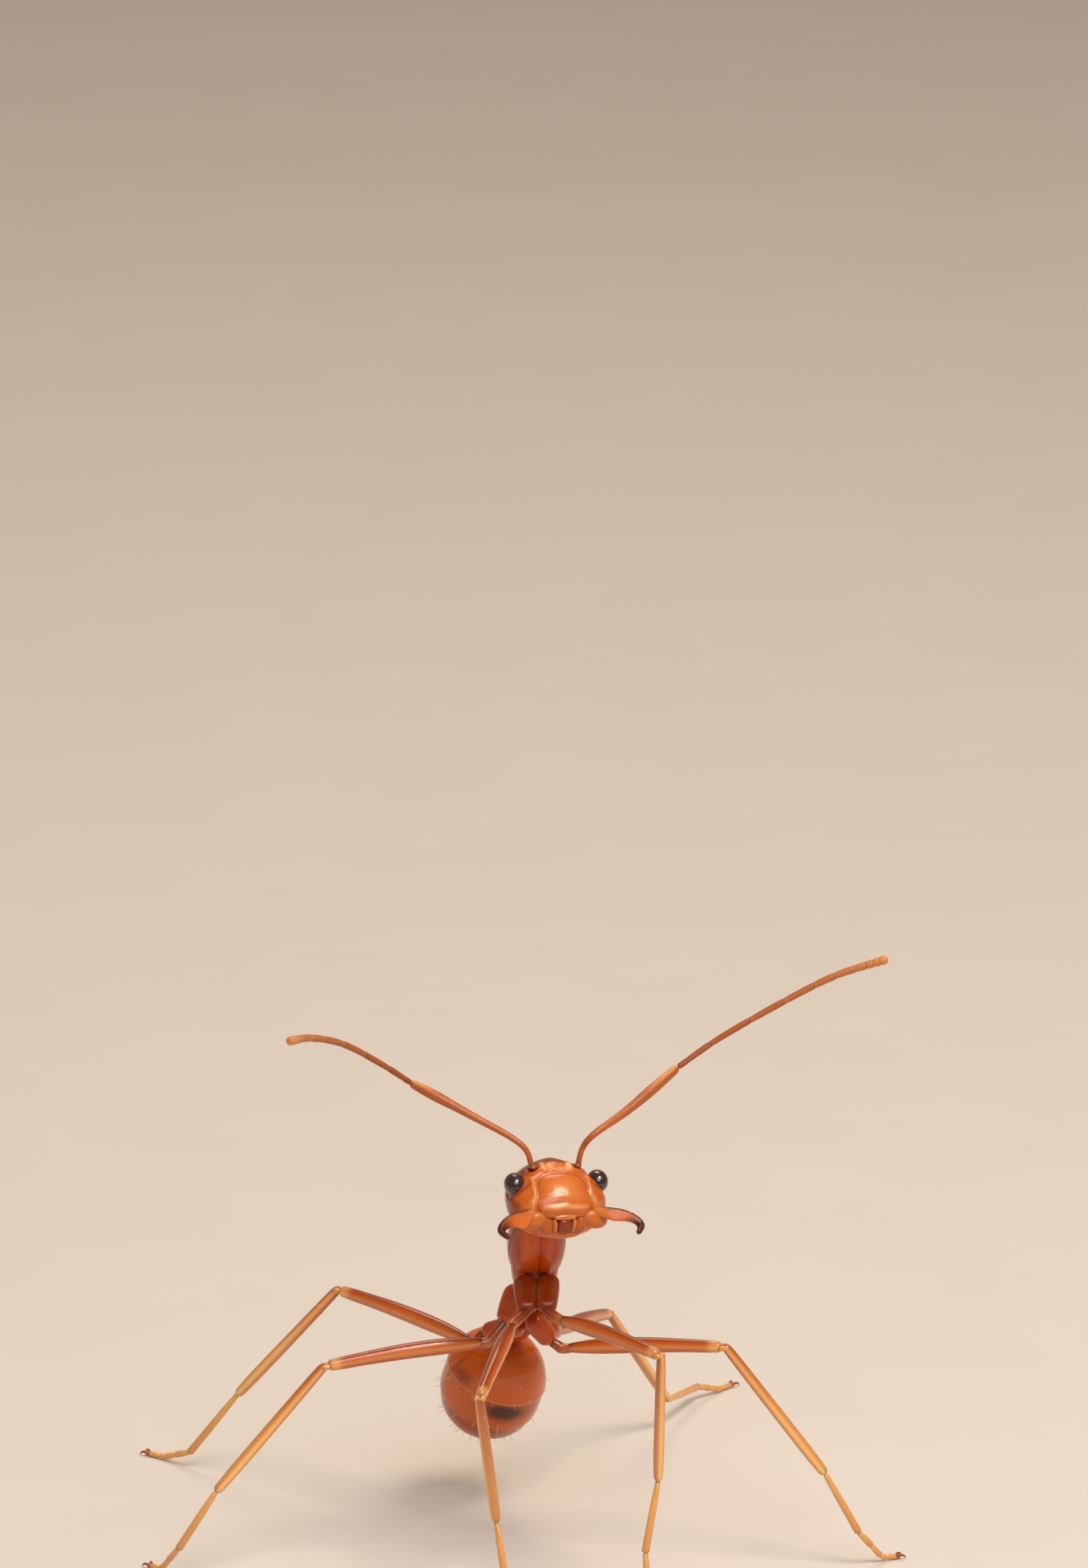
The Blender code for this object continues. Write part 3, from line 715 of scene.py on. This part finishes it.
def build_feeler(side, sign, shell):
    """A dark ball in the socket, the long bare scape that widens to its elbow, then the funiculus."""
    scape, funiculus = ([Vector(bend) for bend in line] for line in FEELER_LINES[side])
    seat = on_head(sign, SOCKET, -0.05)
    neck = on_head(sign, SOCKET, 0.04)
    mesh = new_form()
    knots = [seat, seat.lerp(neck, 0.5), neck]
    limb(mesh, knots, (0.06, 0.065, 0.045), lambda *_: (0.5, 0.0), rings=16)

    def tone(along, turn):
        dark = 0.5 * step_up(0.22, 0.0, along) + 0.15 * step_up(0.5, 0.9, along)
        # Paler on top toward the elbow: a painted highlight
        return dark, 0.50 * step_up(0.82, 0.95, along) * step_up(0.55, 1.0, math.sin(turn))

    limb(mesh, [seat, *scape], SCAPE_RADII, tone, rings=96)
    piece(f"scape_shaft_{side}", mesh, shell, "feeler_shell", f"scape_{side}")
    build_funiculus(shell, side, [scape[-1], *funiculus])


def funiculus_joint(mesh, knots, along, tip):
    """One joint, a little waisted at its base and wider at its end; the tip closes to a point."""
    thick = 0.050 + 0.026 * along**1.4
    end_shares = (0.86, 0.42) if tip else (1.03, 0.98)
    radii = [thick * share for share in (0.88, 0.97, 1.0, *end_shares)]

    def tone(share, turn):
        dark = 0.50 * (1 - along) + 0.30 * step_up(0.86, 1.0, share)
        return dark, 0.38 * along**1.5 + 0.25 * along * step_up(0.22, 0.0, share)

    limb(mesh, knots, radii, tone, sides=18, rings=20, ends=(0.3, 1.6 if tip else 0.3))


def build_funiculus(shell, side, line):
    """The eleven joints past the elbow, thicker and paler toward the tip."""
    mesh = new_form()
    start = 0.0
    last = len(FUNICULUS_JOINTS) - 1
    for number, length in enumerate(FUNICULUS_JOINTS):
        end = start + length
        knots = [smooth(line, start + (end + 0.004 - start) * step / 4) for step in range(5)]
        funiculus_joint(mesh, knots, number / last, number == last)
        start = end
    piece(f"funiculus_joints_{side}", mesh, shell, "feeler_shell", f"funiculus_{side}")


# ---- trunk and gaster

def shell_form(mesh, frame_here, ends, widths, tops, bottoms, detail, caps, size):
    """A rounded plate-covered form along its frame's Y; detail(along, x, z) says its relief and shade."""
    sides, rings = size

    def bare(share, turn):
        along = ease(share)
        half = closing(along, *caps)
        x, z = oval(turn, *(smooth(row, along) * half for row in (widths, tops, bottoms)))
        return along, x, z

    def where(share, turn):
        along, x, z = bare(share, turn)
        out = detail(along, x, z)[0]
        reach = math.hypot(x, z) or 1.0
        place = ends[0] + (ends[1] - ends[0]) * along
        return frame_here @ Vector((x + out * x / reach, place, z + out * z / reach))

    def tone(share, turn):
        return [max(0.0, min(1.0, value)) for value in detail(*bare(share, turn))[1:]]

    draw_out(mesh, sides, rings, where, tone)


def prothorax_detail(along, x, z):
    """The two plates under the neck meet in a seam, and a curved seam parts them from the back plate."""
    out = dark = pale = 0.0
    if z < 0:
        seam = bell(x - 0.02, 0.016) * step_up(0.02, 0.15, along)
        out -= 0.02 * seam
        dark += 0.75 * seam
        # Painted pool of light on the belly plates, to the ant's right of the seam
        pale += 0.22 * bell(x + 0.17, 0.10) * bell(along - 0.55, 0.25)
    edge = z + 0.02 + 0.14 * math.sin(along * math.pi)
    side_seam = bell(edge, 0.016) * step_up(0.15, 0.3, abs(x))
    out -= 0.018 * side_seam
    dark += 0.5 * side_seam
    dark += 0.5 * step_up(0.86, 0.99, along) + 0.35 * step_up(0.10, 0.0, along)
    # Painted shade on both sides of the prothorax
    dark += 0.45 * step_up(0.22, 0.42, abs(x))
    return out, dark, pale


def mesothorax_detail(along, x, z):
    """Side plates that swell outward, and a furrow down the middle of the belly."""
    out = dark = 0.0
    if z < 0:
        out -= 0.03 * bell(x, 0.02)
        dark += 0.5 * bell(x, 0.03)
    away = math.hypot((along - 0.42) / 0.42, (z + 0.02) / 0.22)
    bulge = bell(away, 1.0) * step_up(0.15, 0.33, abs(x))
    out += 0.02 * bulge
    rim = bell(away - 1.25, 0.12) * step_up(0.12, 0.25, abs(x))
    out -= 0.02 * rim
    dark += 0.4 * rim + 0.25 + 0.3 * step_up(0.88, 1.0, along)
    return out, dark, 0.12 * bulge


def propodeum_detail(along, x, z):
    """A smooth dome with a raised breathing hole on each side."""
    hole = math.hypot((along - 0.42) / 0.075, (z - 0.12) / 0.05)
    near = step_up(0.2, 0.3, abs(x))
    out = near * (0.02 * bell(hole - 1.1, 0.35) - 0.04 * bell(hole, 0.6))
    seam = bell(z + 0.10 - 0.15 * along, 0.018) * step_up(0.1, 0.2, abs(x))
    out -= 0.018 * seam
    return out, 0.2 + near * 0.8 * bell(hole, 0.7) + 0.45 * seam + 0.3 * step_up(0.15, 0.0, along), 0.0


def petiole_detail(along, _x, _z):
    """No relief: the waist is smooth, and darkest at its base."""
    return 0.0, 0.35 + 0.3 * step_up(0.25, 0.05, along), 0.0


def build_neck(mesh):
    """Folded dark skin between the head and the trunk."""
    back_of_head = on_head(1, (0, HEAD_BACK + 0.04, -0.05))
    knots = [back_of_head, back_of_head.lerp(NECK, 0.5), NECK, NECK + TRUNK_DIRECTION * 0.25]

    def section(along, _):
        return 1 + 0.05 * math.cos(along * 40)

    def tone(along, _):
        return 0.6 + 0.3 * math.cos(along * 40), 0.0

    limb(mesh, knots, (0.17, 0.15, 0.16, 0.20), tone, rings=40, shape=section)


def build_trunk(shell):
    """The three plated parts of the trunk, each tucked into the one before it, and the neck."""
    for part, name, detail, caps, size in (
        ("prothorax", "prothorax_plates", prothorax_detail, (0.10, 0.07), (144, 110)),
        ("mesothorax", "mesothorax_plates", mesothorax_detail, (0.14, 0.10), (112, 72)),
        ("propodeum", "propodeum_dome", propodeum_detail, (0.12, 0.14), (112, 72)),
    ):
        mesh = new_form()
        if part == "prothorax":
            build_neck(mesh)
        shell_form(mesh, TRUNK, *TRUNK_PARTS[part], detail, caps, size)
        piece(name, mesh, shell, "trunk_shell", part)


def waist():
    """Start and end of the waist stalk."""
    start = TRUNK @ Vector((0, PROPODEUM_END, -WAIST_DROP)) + PETIOLE_DIRECTION * (GAP * 2)
    return start, start + PETIOLE_DIRECTION * (PETIOLE_LENGTH + GAP)


def build_petiole(shell):
    """The one low joint of the waist, highest past its middle."""
    mesh = new_form()
    stalk = axes(waist()[0], PETIOLE_DIRECTION)
    shell_form(mesh, stalk, *TRUNK_PARTS["petiole"], petiole_detail, (0.06, 0.06), (48, 48))
    piece("petiole_node", mesh, shell, "trunk_shell", "petiole")


def gaster_axes():
    """Matrix of the gaster: origin at the waist's end, Y along it to the tip."""
    return axes(waist()[1], GASTER_DIRECTION, (0, 1, 0))


def gaster_swell(share):
    """Half thickness of the gaster, as a share of its greatest, at a share of its length."""
    return math.sqrt(max(0.0, 1 - abs(2 * min(1.0, max(0.0, share)) - 1) ** GASTER_FULLNESS))


def tilted(along, turn):
    """Share of the length after the plates' edges are swung a little back on the left."""
    return along + 0.03 * math.cos(turn) * 4 * along * (1 - along)


def plate_place(share, number, near, far):
    """Share of the gaster's length at a share of one plate, with rings closest at the gaster's ends."""
    if number == 0:
        return near + (far - near) * (1 - math.cos(math.pi / 2 * min(1.0, share / 0.97)))
    if number == len(GASTER_CUTS):
        return near + (far - near) * math.sin(math.pi / 2 * share)
    return near + (far - near) * share


def plate_tone(along, turn, number, near, far):
    """Darker toward the tip, a dark spot on the first plate's left, painted shade near the waist and on
    the belly of the second plate, darker middles further back, a pale rear rim, and the lap of back
    over belly.
    """
    left = math.cos(turn)
    under = step_up(0.1, -0.5, math.sin(turn))
    within = (along - near) / (far - near)
    dark = 0.05 + 0.25 * step_up(0.5, 0.95, along)
    pale = 0.0 if number == len(GASTER_CUTS) else 0.35 * step_up(far - 0.012, far - 0.004, along)
    if number == 0:
        dark += 0.6 * bell(along - 0.325, 0.06) * bell(left + 0.82, 0.15) * under
        # Painted shade near the waist, where the body shades the gaster
        dark += 0.10 * step_up(0.16, 0.03, along)
    elif number == 1:
        # Painted shade on the belly of the second plate, which lies sunk under the first
        dark += 1.25 * under * bell(left - 0.12, 0.46) * bell(within - 0.42, 0.25)
    else:
        dark += 0.35 * bell(within - 0.5, 0.25)
    lap = math.sin(turn) + 0.18 + 0.10 * math.sin(along * 9)
    pale += 0.40 * bell(lap, 0.025) * step_up(0.2, 0.35, along)
    dark += 0.30 * bell(lap + 0.07, 0.05)
    return min(1.0, dark), min(1.0, pale)


def build_gaster_plate(shell, number, near, far):
    """One ring plate, closed across at both ends, with a thin raised rim at its rear edge."""
    frame_here = gaster_axes()
    start = 0.03 if number else 0.0
    end = 0.03 if number < len(GASTER_CUTS) else 0.0

    def where(share, turn):
        along = plate_place(share, number, near, far)
        swell = gaster_swell(along)
        lift = 0.018 * step_up(near, far, along) - 0.012 * (number > 0)
        closed = closing(share, start, end)
        x = math.cos(turn) * (GASTER_HALF_WIDTH * swell + lift) * closed
        z = math.sin(turn) * (GASTER_HALF_DEPTH * swell + lift) * closed
        return frame_here @ Vector((x, tilted(along, turn) * GASTER_LENGTH, z))

    def tone(share, turn):
        return plate_tone(plate_place(share, number, near, far), turn, number, near, far)

    mesh = new_form()
    draw_out(mesh, 128, 72, where, tone)
    piece(f"gaster_plate_{number + 1}", mesh, shell, "gaster_shell", f"gaster_segment_{number + 1}")


def build_gaster(shell):
    """Ring plates, each tucked under the one before it."""
    for number, (cut, far) in enumerate(zip((0.0, *GASTER_CUTS), (*GASTER_CUTS, 1.0))):
        build_gaster_plate(shell, number, cut - 0.05 if number else cut, far)


# ---- legs

def leg_joints(row, side):
    """Places of hip, knee, ankle, heel end and toe tip, from the trunk to the floor."""
    sign = 1 if side == "left" else -1
    along, out, down = COXA_PLACE[row]
    *turns, toe_heading = LEG_POSE[row, side]
    *lengths, toes = LEG_LENGTHS[row]
    joints = [TRUNK @ Vector((sign * out, along, -down))]
    for length, turn in zip(lengths, turns):
        joints.append(joints[-1] + direction(*turn, sign) * length)
    drop = joints[-1].z - SOLID_FOOT_HEIGHT
    reach = math.sqrt(max(toes**2 - drop**2, (LEAST_TOE_REACH * toes) ** 2))
    toe = joints[-1] + direction(toe_heading, 0, sign) * reach
    toe.z = TOE_RADIUS
    return [*joints[1:], toe]


def build_leg(row, side, shell, trunk_shell, horn):
    """One leg, from the stout length that sits on the trunk to the claws."""
    joints = leg_joints(row, side)
    name = f"{row}_{side}"
    build_hip(name, HIP_LINES[row, side], trunk_shell)
    build_femur(name, TRUNK @ Vector(HIP_LINES[row, side][1]), joints, shell)
    build_tibia(name, row, joints, shell)
    build_tarsus(name, joints, shell, horn)


def build_hip(name, ends, shell):
    """The stout first length of the leg, narrower toward its end; the front pair is flattened."""
    front = name.startswith("front")
    corners = 3.0 if front else 2.1
    start, end = (TRUNK @ Vector(point) for point in ends)
    inward = (end - start).normalized()

    def section(_, turn):
        return (abs(math.cos(turn)) ** corners + abs(math.sin(turn)) ** corners) ** (-1 / corners)

    def tone(along, _):
        # The front pair is painted darker: painted shade on the underside
        return (0.62 if front else 0.30) + 0.3 * step_up(0.88, 1.0, along), 0.08 * bell(along - 0.5, 0.3)

    mesh = new_form()
    knots = [start - inward * 0.10, start.lerp(end, 0.3), start.lerp(end, 0.65), end + inward * 0.03]
    flat = 0.72 if front else 0.92
    limb(mesh, knots, COXA_RADII, tone, sides=48, rings=64, flat=flat, shape=section)
    piece(f"hip_{name}", mesh, shell, "trunk_shell", f"coxa_{name}")


def femur_tone(along, turn):
    """Painted shade along two edges and a painted highlight between them; clearer at the knee."""
    edge = abs(math.sin(turn))
    dark = 0.35 * step_up(0.10, 0.0, along) + 0.65 * step_up(0.5, 1.0, edge)
    return dark, 0.35 * step_up(0.88, 0.95, along) + 0.24 * step_up(0.55, 0.1, edge)


def build_femur(name, hip_end, joints, shell):
    """A small curved joint, then a slim spindle with two knuckles where the shin hangs."""
    hip, knee, ankle = joints[:3]
    thigh = (knee - hip).normalized()
    across = thigh.cross(ankle - knee).normalized()
    mesh = new_form()
    before = hip_end - (hip - hip_end).normalized() * 0.05
    knots = [before, hip_end.lerp(hip, 0.5), hip, hip + thigh * 0.20]

    def trochanter_tone(along, _):
        # The pale band near the trochanter's end is a painted highlight
        return 0.45 * step_up(0.60, 0.0, along) + 0.35, 0.14 * bell(along - 0.75, 0.12)

    def knuckle_tone(along, _):
        return 0.3 * step_up(0.75, 1.0, along), 0.42 * step_up(0.1, 0.4, along)

    limb(mesh, knots, TROCHANTER_RADII, trochanter_tone, sides=28, rings=40)
    shares = (0.03, 0.25, 0.5, 0.75, 0.975)
    knots = [hip.lerp(knee, share) + UP * FEMUR_ARCH * math.sin(math.pi * share) for share in shares]
    limb(mesh, knots, FEMUR_RADII, femur_tone, sides=36, rings=84, flat=1.08)
    for sign in (1, -1):
        spot = knee + across * sign * 0.052
        knots = [spot - thigh * 0.14, spot - thigh * 0.05, spot + thigh * 0.035]
        limb(mesh, knots, (0.036, 0.046, 0.040), knuckle_tone, sides=18, rings=18)
    piece(f"thigh_{name}", mesh, shell, "leg_shell", f"femur_{name}")


def build_tibia(name, row, joints, shell):
    """The shin: a thin bent neck in the knee, then slowly wider to the ankle, with its spur."""
    hip, knee, ankle, heel, _ = joints
    shin = (ankle - knee).normalized()
    thigh = (knee - hip).normalized()
    foot = (heel - ankle).normalized()
    across = shin.cross(UP).normalized()
    # Painted shade along two edges of the shin and a painted highlight between them
    edge = math.sin if row == "front" else math.cos

    def tone(along, turn):
        rim = abs(edge(turn))
        dark = 0.45 * step_up(0.10, 0.0, along) + 0.95 * step_up(0.962, 0.988, along)
        dark += 0.5 * step_up(0.45, 1.0, rim)
        return dark, 0.06 + 0.34 * step_up(0.1, 0.85, along) + 0.42 * step_up(0.70, 0.15, rim)

    mesh = new_form()
    bent_neck = [knee - thigh * 0.02 + shin * 0.01, knee + shin * 0.10]
    knots = [*bent_neck, knee.lerp(ankle, 0.34), knee.lerp(ankle, 0.67), ankle]
    limb(mesh, knots, TIBIA_RADII, tone, sides=32, rings=84, up=across, flat=0.92)
    inner = (foot + direction(0, 0, 1) * 0.3 - shin * 0.2).normalized()
    spur = SPUR_LENGTH[row]
    root = ankle - shin * 0.03
    knots = [root, root + inner * spur * 0.5, root + inner * spur + foot * 0.03]
    limb(mesh, knots, (0.022, 0.017, 0.004), lambda *_: (0.1, 0.7), sides=10, rings=14, up=across)
    piece(f"shin_{name}", mesh, shell, "leg_shell", f"tibia_{name}")


def tarsomere_tone(along, turn):
    """Pale, darker at both ends, with painted shade along two edges."""
    dark = 0.25 * step_up(0.12, 0.0, along) + 0.45 * step_up(0.93, 1.0, along)
    return dark + 0.35 * step_up(0.5, 1.0, abs(math.cos(turn))), 0.62 - 0.2 * along


def tarsomere(mesh, knots, thick, rings=28):
    """One foot joint, widest at its end."""
    radii = [thick * share for share in (0.72, 0.92, 1.0, 1.02, 1.08)]
    limb(mesh, knots, radii, tarsomere_tone, rings=rings, ends=(0.6, 0.4))


def build_tarsus(name, joints, shell, horn):
    """Five foot joints, the first as long as the rest together, then two claws over a pad."""
    ankle, heel, toe = joints[2:]
    last = heel.lerp(toe, 0.62)
    last.z = TOE_RADIUS + 0.30 * (last.z - TOE_RADIUS)
    line = [heel, heel.lerp(last, 0.5), last, last.lerp(toe, 0.5), toe]
    mesh = new_form()
    tarsomere(mesh, [ankle.lerp(heel, share) for share in (-0.01, 0.34, 0.67, 1.01)], 0.062, rings=56)
    for number, (near, far) in enumerate(zip(TOE_CUTS, TOE_CUTS[1:])):
        knots = [smooth(line, near + (far + 0.012 - near) * step / 3) for step in range(4)]
        tarsomere(mesh, knots, 0.056 - 0.004 * number)
    piece(f"foot_joints_{name}", mesh, shell, "leg_shell", f"tarsus_{name}")
    build_claws(name, last, toe, horn)


def build_claws(name, last, toe, horn):
    """Two hooked claws, spread a little, over a soft pale pad."""
    ahead = (toe - last).normalized()
    level = Vector((ahead.x, ahead.y, 0)).normalized()
    across = level.cross(UP)
    mesh = new_form()
    for sign in (1, -1):
        root = toe + across * sign * 0.022
        bends = [root + level * on + across * sign * out + UP * rise for on, out, rise in CLAW_BENDS]
        radii = (0.024, 0.022, 0.014, 0.004)
        limb(mesh, [root, *bends], radii, lambda along, _: (0.45 + 0.5 * along, 0.0), sides=10, rings=18)
    knots = [toe, toe + level * 0.05 - UP * 0.008, toe + level * 0.095 - UP * 0.018]
    limb(mesh, knots, (0.028, 0.036, 0.026), lambda *_: (0.0, 0.6), sides=14, rings=16, flat=0.6)
    piece(f"claws_{name}", mesh, horn, "leg_shell")


# ---- bristles

def bristles(name, roots, material, slot, thick=0.005):
    """Tapered hairs, each a root, a lean, a length and its place on an unwrap of the skin."""
    mesh = new_form()
    atlas = mesh.loops.layers.uv.new("OFBake")
    for root, lean, length, place in roots:
        droop = lean.cross(UP).cross(lean).normalized() * -0.08 * length
        knots = [root - lean * 0.01, root + lean * length * 0.5, root + lean * length + droop]
        verts = limb(mesh, knots, (thick, thick * 0.8, thick * 0.24), plain, sides=5, rings=5)
        across = lean.cross(UP).normalized()
        for face in {face for vert in verts for face in vert.link_faces}:
            for loop in face.loops:
                reach = loop.vert.co - root
                along, beside = reach.dot(lean) / length, reach.dot(across) / (thick * 2)
                loop[atlas].uv = (place[0] + HAIR_PATCH * along, place[1] + HAIR_PATCH * beside)
    piece(name, mesh, material, slot)


def gaster_roots():
    """A row of standing hairs behind each plate's edge, and a few between the rows."""
    frame_here = gaster_axes()
    roots = []
    rows = [(cut - 0.012, 15, 0.13) for cut in GASTER_CUTS]
    rows += GASTER_HAIR_ROWS
    for row, (along, count, length) in enumerate(rows):
        for step in range(count):
            wobble = noise.noise(Vector((row * 3.1, step * 1.7, 0.5)))
            turn = math.tau * (step + 0.5 * row + 0.6 * wobble) / count
            share = along + 0.02 * wobble
            swell = gaster_swell(share)
            x, z = math.cos(turn), math.sin(turn)
            half_width, half_depth = GASTER_HALF_WIDTH * swell, GASTER_HALF_DEPTH * swell
            spot = Vector((x * half_width, share * GASTER_LENGTH, z * half_depth))
            lean = Vector((x, 0.55 + 0.3 * wobble, z)).normalized()
            place = (turn / math.tau % 1.0, share)
            roots.append((frame_here @ spot, frame_here.to_3x3() @ lean, length * (1 + 0.4 * wobble), place))
    return roots


def limb_roots(line, thick, count, length, strip, upper=False):
    """Short hairs that lean down a limb, wound round it so that no two stand in line."""
    roots = []
    for step in range(count):
        share = (step + 0.5) / count
        turn = step * 2.4
        spot = smooth(line, share)
        frame_here = axes(spot, smooth(line, share + 0.02) - spot)
        side = Vector((math.cos(turn), 0, abs(math.sin(turn)) if upper else math.sin(turn)))
        lean = (side + Vector((0, 1.3, 0))).normalized()
        place = (strip + 0.15 * share, turn / math.tau % 1.0)
        roots.append((frame_here @ (side * thick), frame_here.to_3x3() @ lean, length, place))
    return roots


def leg_roots():
    """Down on the shins and feet, shortest on the toes and only on top of them."""
    roots = []
    for number, (row, side) in enumerate(LEG_POSE):
        _, knee, ankle, heel, toe = leg_joints(row, side)
        strip = number / len(LEG_POSE)
        roots += limb_roots([knee.lerp(ankle, 0.12), knee.lerp(ankle, 0.5), ankle], 0.082, 30, 0.055, strip)
        roots += limb_roots([ankle, ankle.lerp(heel, 0.5), heel], 0.056, 26, 0.05, strip)
        roots += limb_roots([heel, heel.lerp(toe, 0.5), toe], 0.046, 14, 0.035, strip, upper=True)
    return roots


def jaw_roots():
    """A few short hairs over the first half of each jaw."""
    roots = []
    for _, sign in SIDES:
        line = [on_head(sign, bend) for bend in MANDIBLE_LINE[:4]]
        roots += limb_roots(line, 0.07, 14, 0.06, JAW_STRIP + 0.2 * sign)
    return roots


# ---- studio

def build_floor():
    """A wide flat sheet of paper at z = 0, not part of the model."""
    mesh = bmesh.new()
    bmesh.ops.create_grid(mesh, x_segments=1, y_segments=1, size=FLOOR_HALF_SIZE)
    data = bpy.data.meshes.new("floor")
    mesh.to_mesh(data)
    mesh.free()
    data.materials.append(floor_paper())
    floor = bpy.data.objects.new("floor", data)
    bpy.context.scene.collection.objects.link(floor)


def build_lights():
    """Warm air all round, a key lamp ahead to the ant's left, a bluer disc ahead, and one behind."""
    scene = bpy.context.scene
    scene.view_settings.view_transform = "Standard"
    scene.world = bpy.data.worlds.new("studio_air")
    scene.world.use_nodes = True
    air = scene.world.node_tree.nodes["Background"]
    fill(air, Color=linear(AIR_COLOUR), Strength=AIR_STRENGTH)
    for name, azimuth, height, distance, size, power, tint in LAMPS:
        lamp = bpy.data.lights.new(name, "AREA")
        lamp.shape = "DISK"
        lamp.size = size
        lamp.energy = power
        lamp.color = linear(tint)[:3]
        made = bpy.data.objects.new(name, lamp)
        away = direction(azimuth, height, 1)
        made.location = (HOME + LAMP_AIM) * MM + away * distance
        made.rotation_euler = away.to_track_quat("Z", "Y").to_euler()
        scene.collection.objects.link(made)


def build_camera():
    """The view: level enough to meet the ant's face, from a little above and to its right."""
    lens = bpy.data.cameras.new("camera")
    lens.sensor_fit = "VERTICAL"
    lens.sensor_height = CAMERA_SENSOR
    lens.lens = CAMERA_LENS
    lens.clip_start = CAMERA_NEAR
    camera = bpy.data.objects.new("camera", lens)
    away = direction(CAMERA_AZIMUTH, CAMERA_HEIGHT, 1)
    camera.location = (HOME + CAMERA_TARGET + away * CAMERA_DISTANCE) * MM
    camera.rotation_euler = away.to_track_quat("Z", "Y").to_euler()
    bpy.context.scene.collection.objects.link(camera)
    bpy.context.scene.camera = camera


def build_ant():
    """Every piece of the ant, from its head to its feet, then its hairs."""
    head, trunk, leg, gaster = head_cuticle(), trunk_cuticle(), leg_cuticle(), gaster_cuticle()
    feeler, jaw, lens, hair = feeler_cuticle(), jaw_cuticle(), eye_lens(), bristle()
    build_head(head)
    build_eyes(lens)
    for side, sign in SIDES:
        build_mandible(side, sign, jaw)
    build_mouth(head)
    for side, sign in SIDES:
        build_feeler(side, sign, feeler)
    build_trunk(trunk)
    build_petiole(trunk)
    build_gaster(gaster)
    for row in ROWS:
        for side, _ in SIDES:
            build_leg(row, side, leg, trunk, jaw)
    bristles("gaster_bristles", gaster_roots(), hair, "gaster_shell")
    bristles("leg_bristles", leg_roots(), hair, "leg_shell", thick=0.0032)
    bristles("jaw_bristles", jaw_roots(), hair, "jaw_shell", thick=0.003)


build_ant()
build_floor()
build_lights()
build_camera()
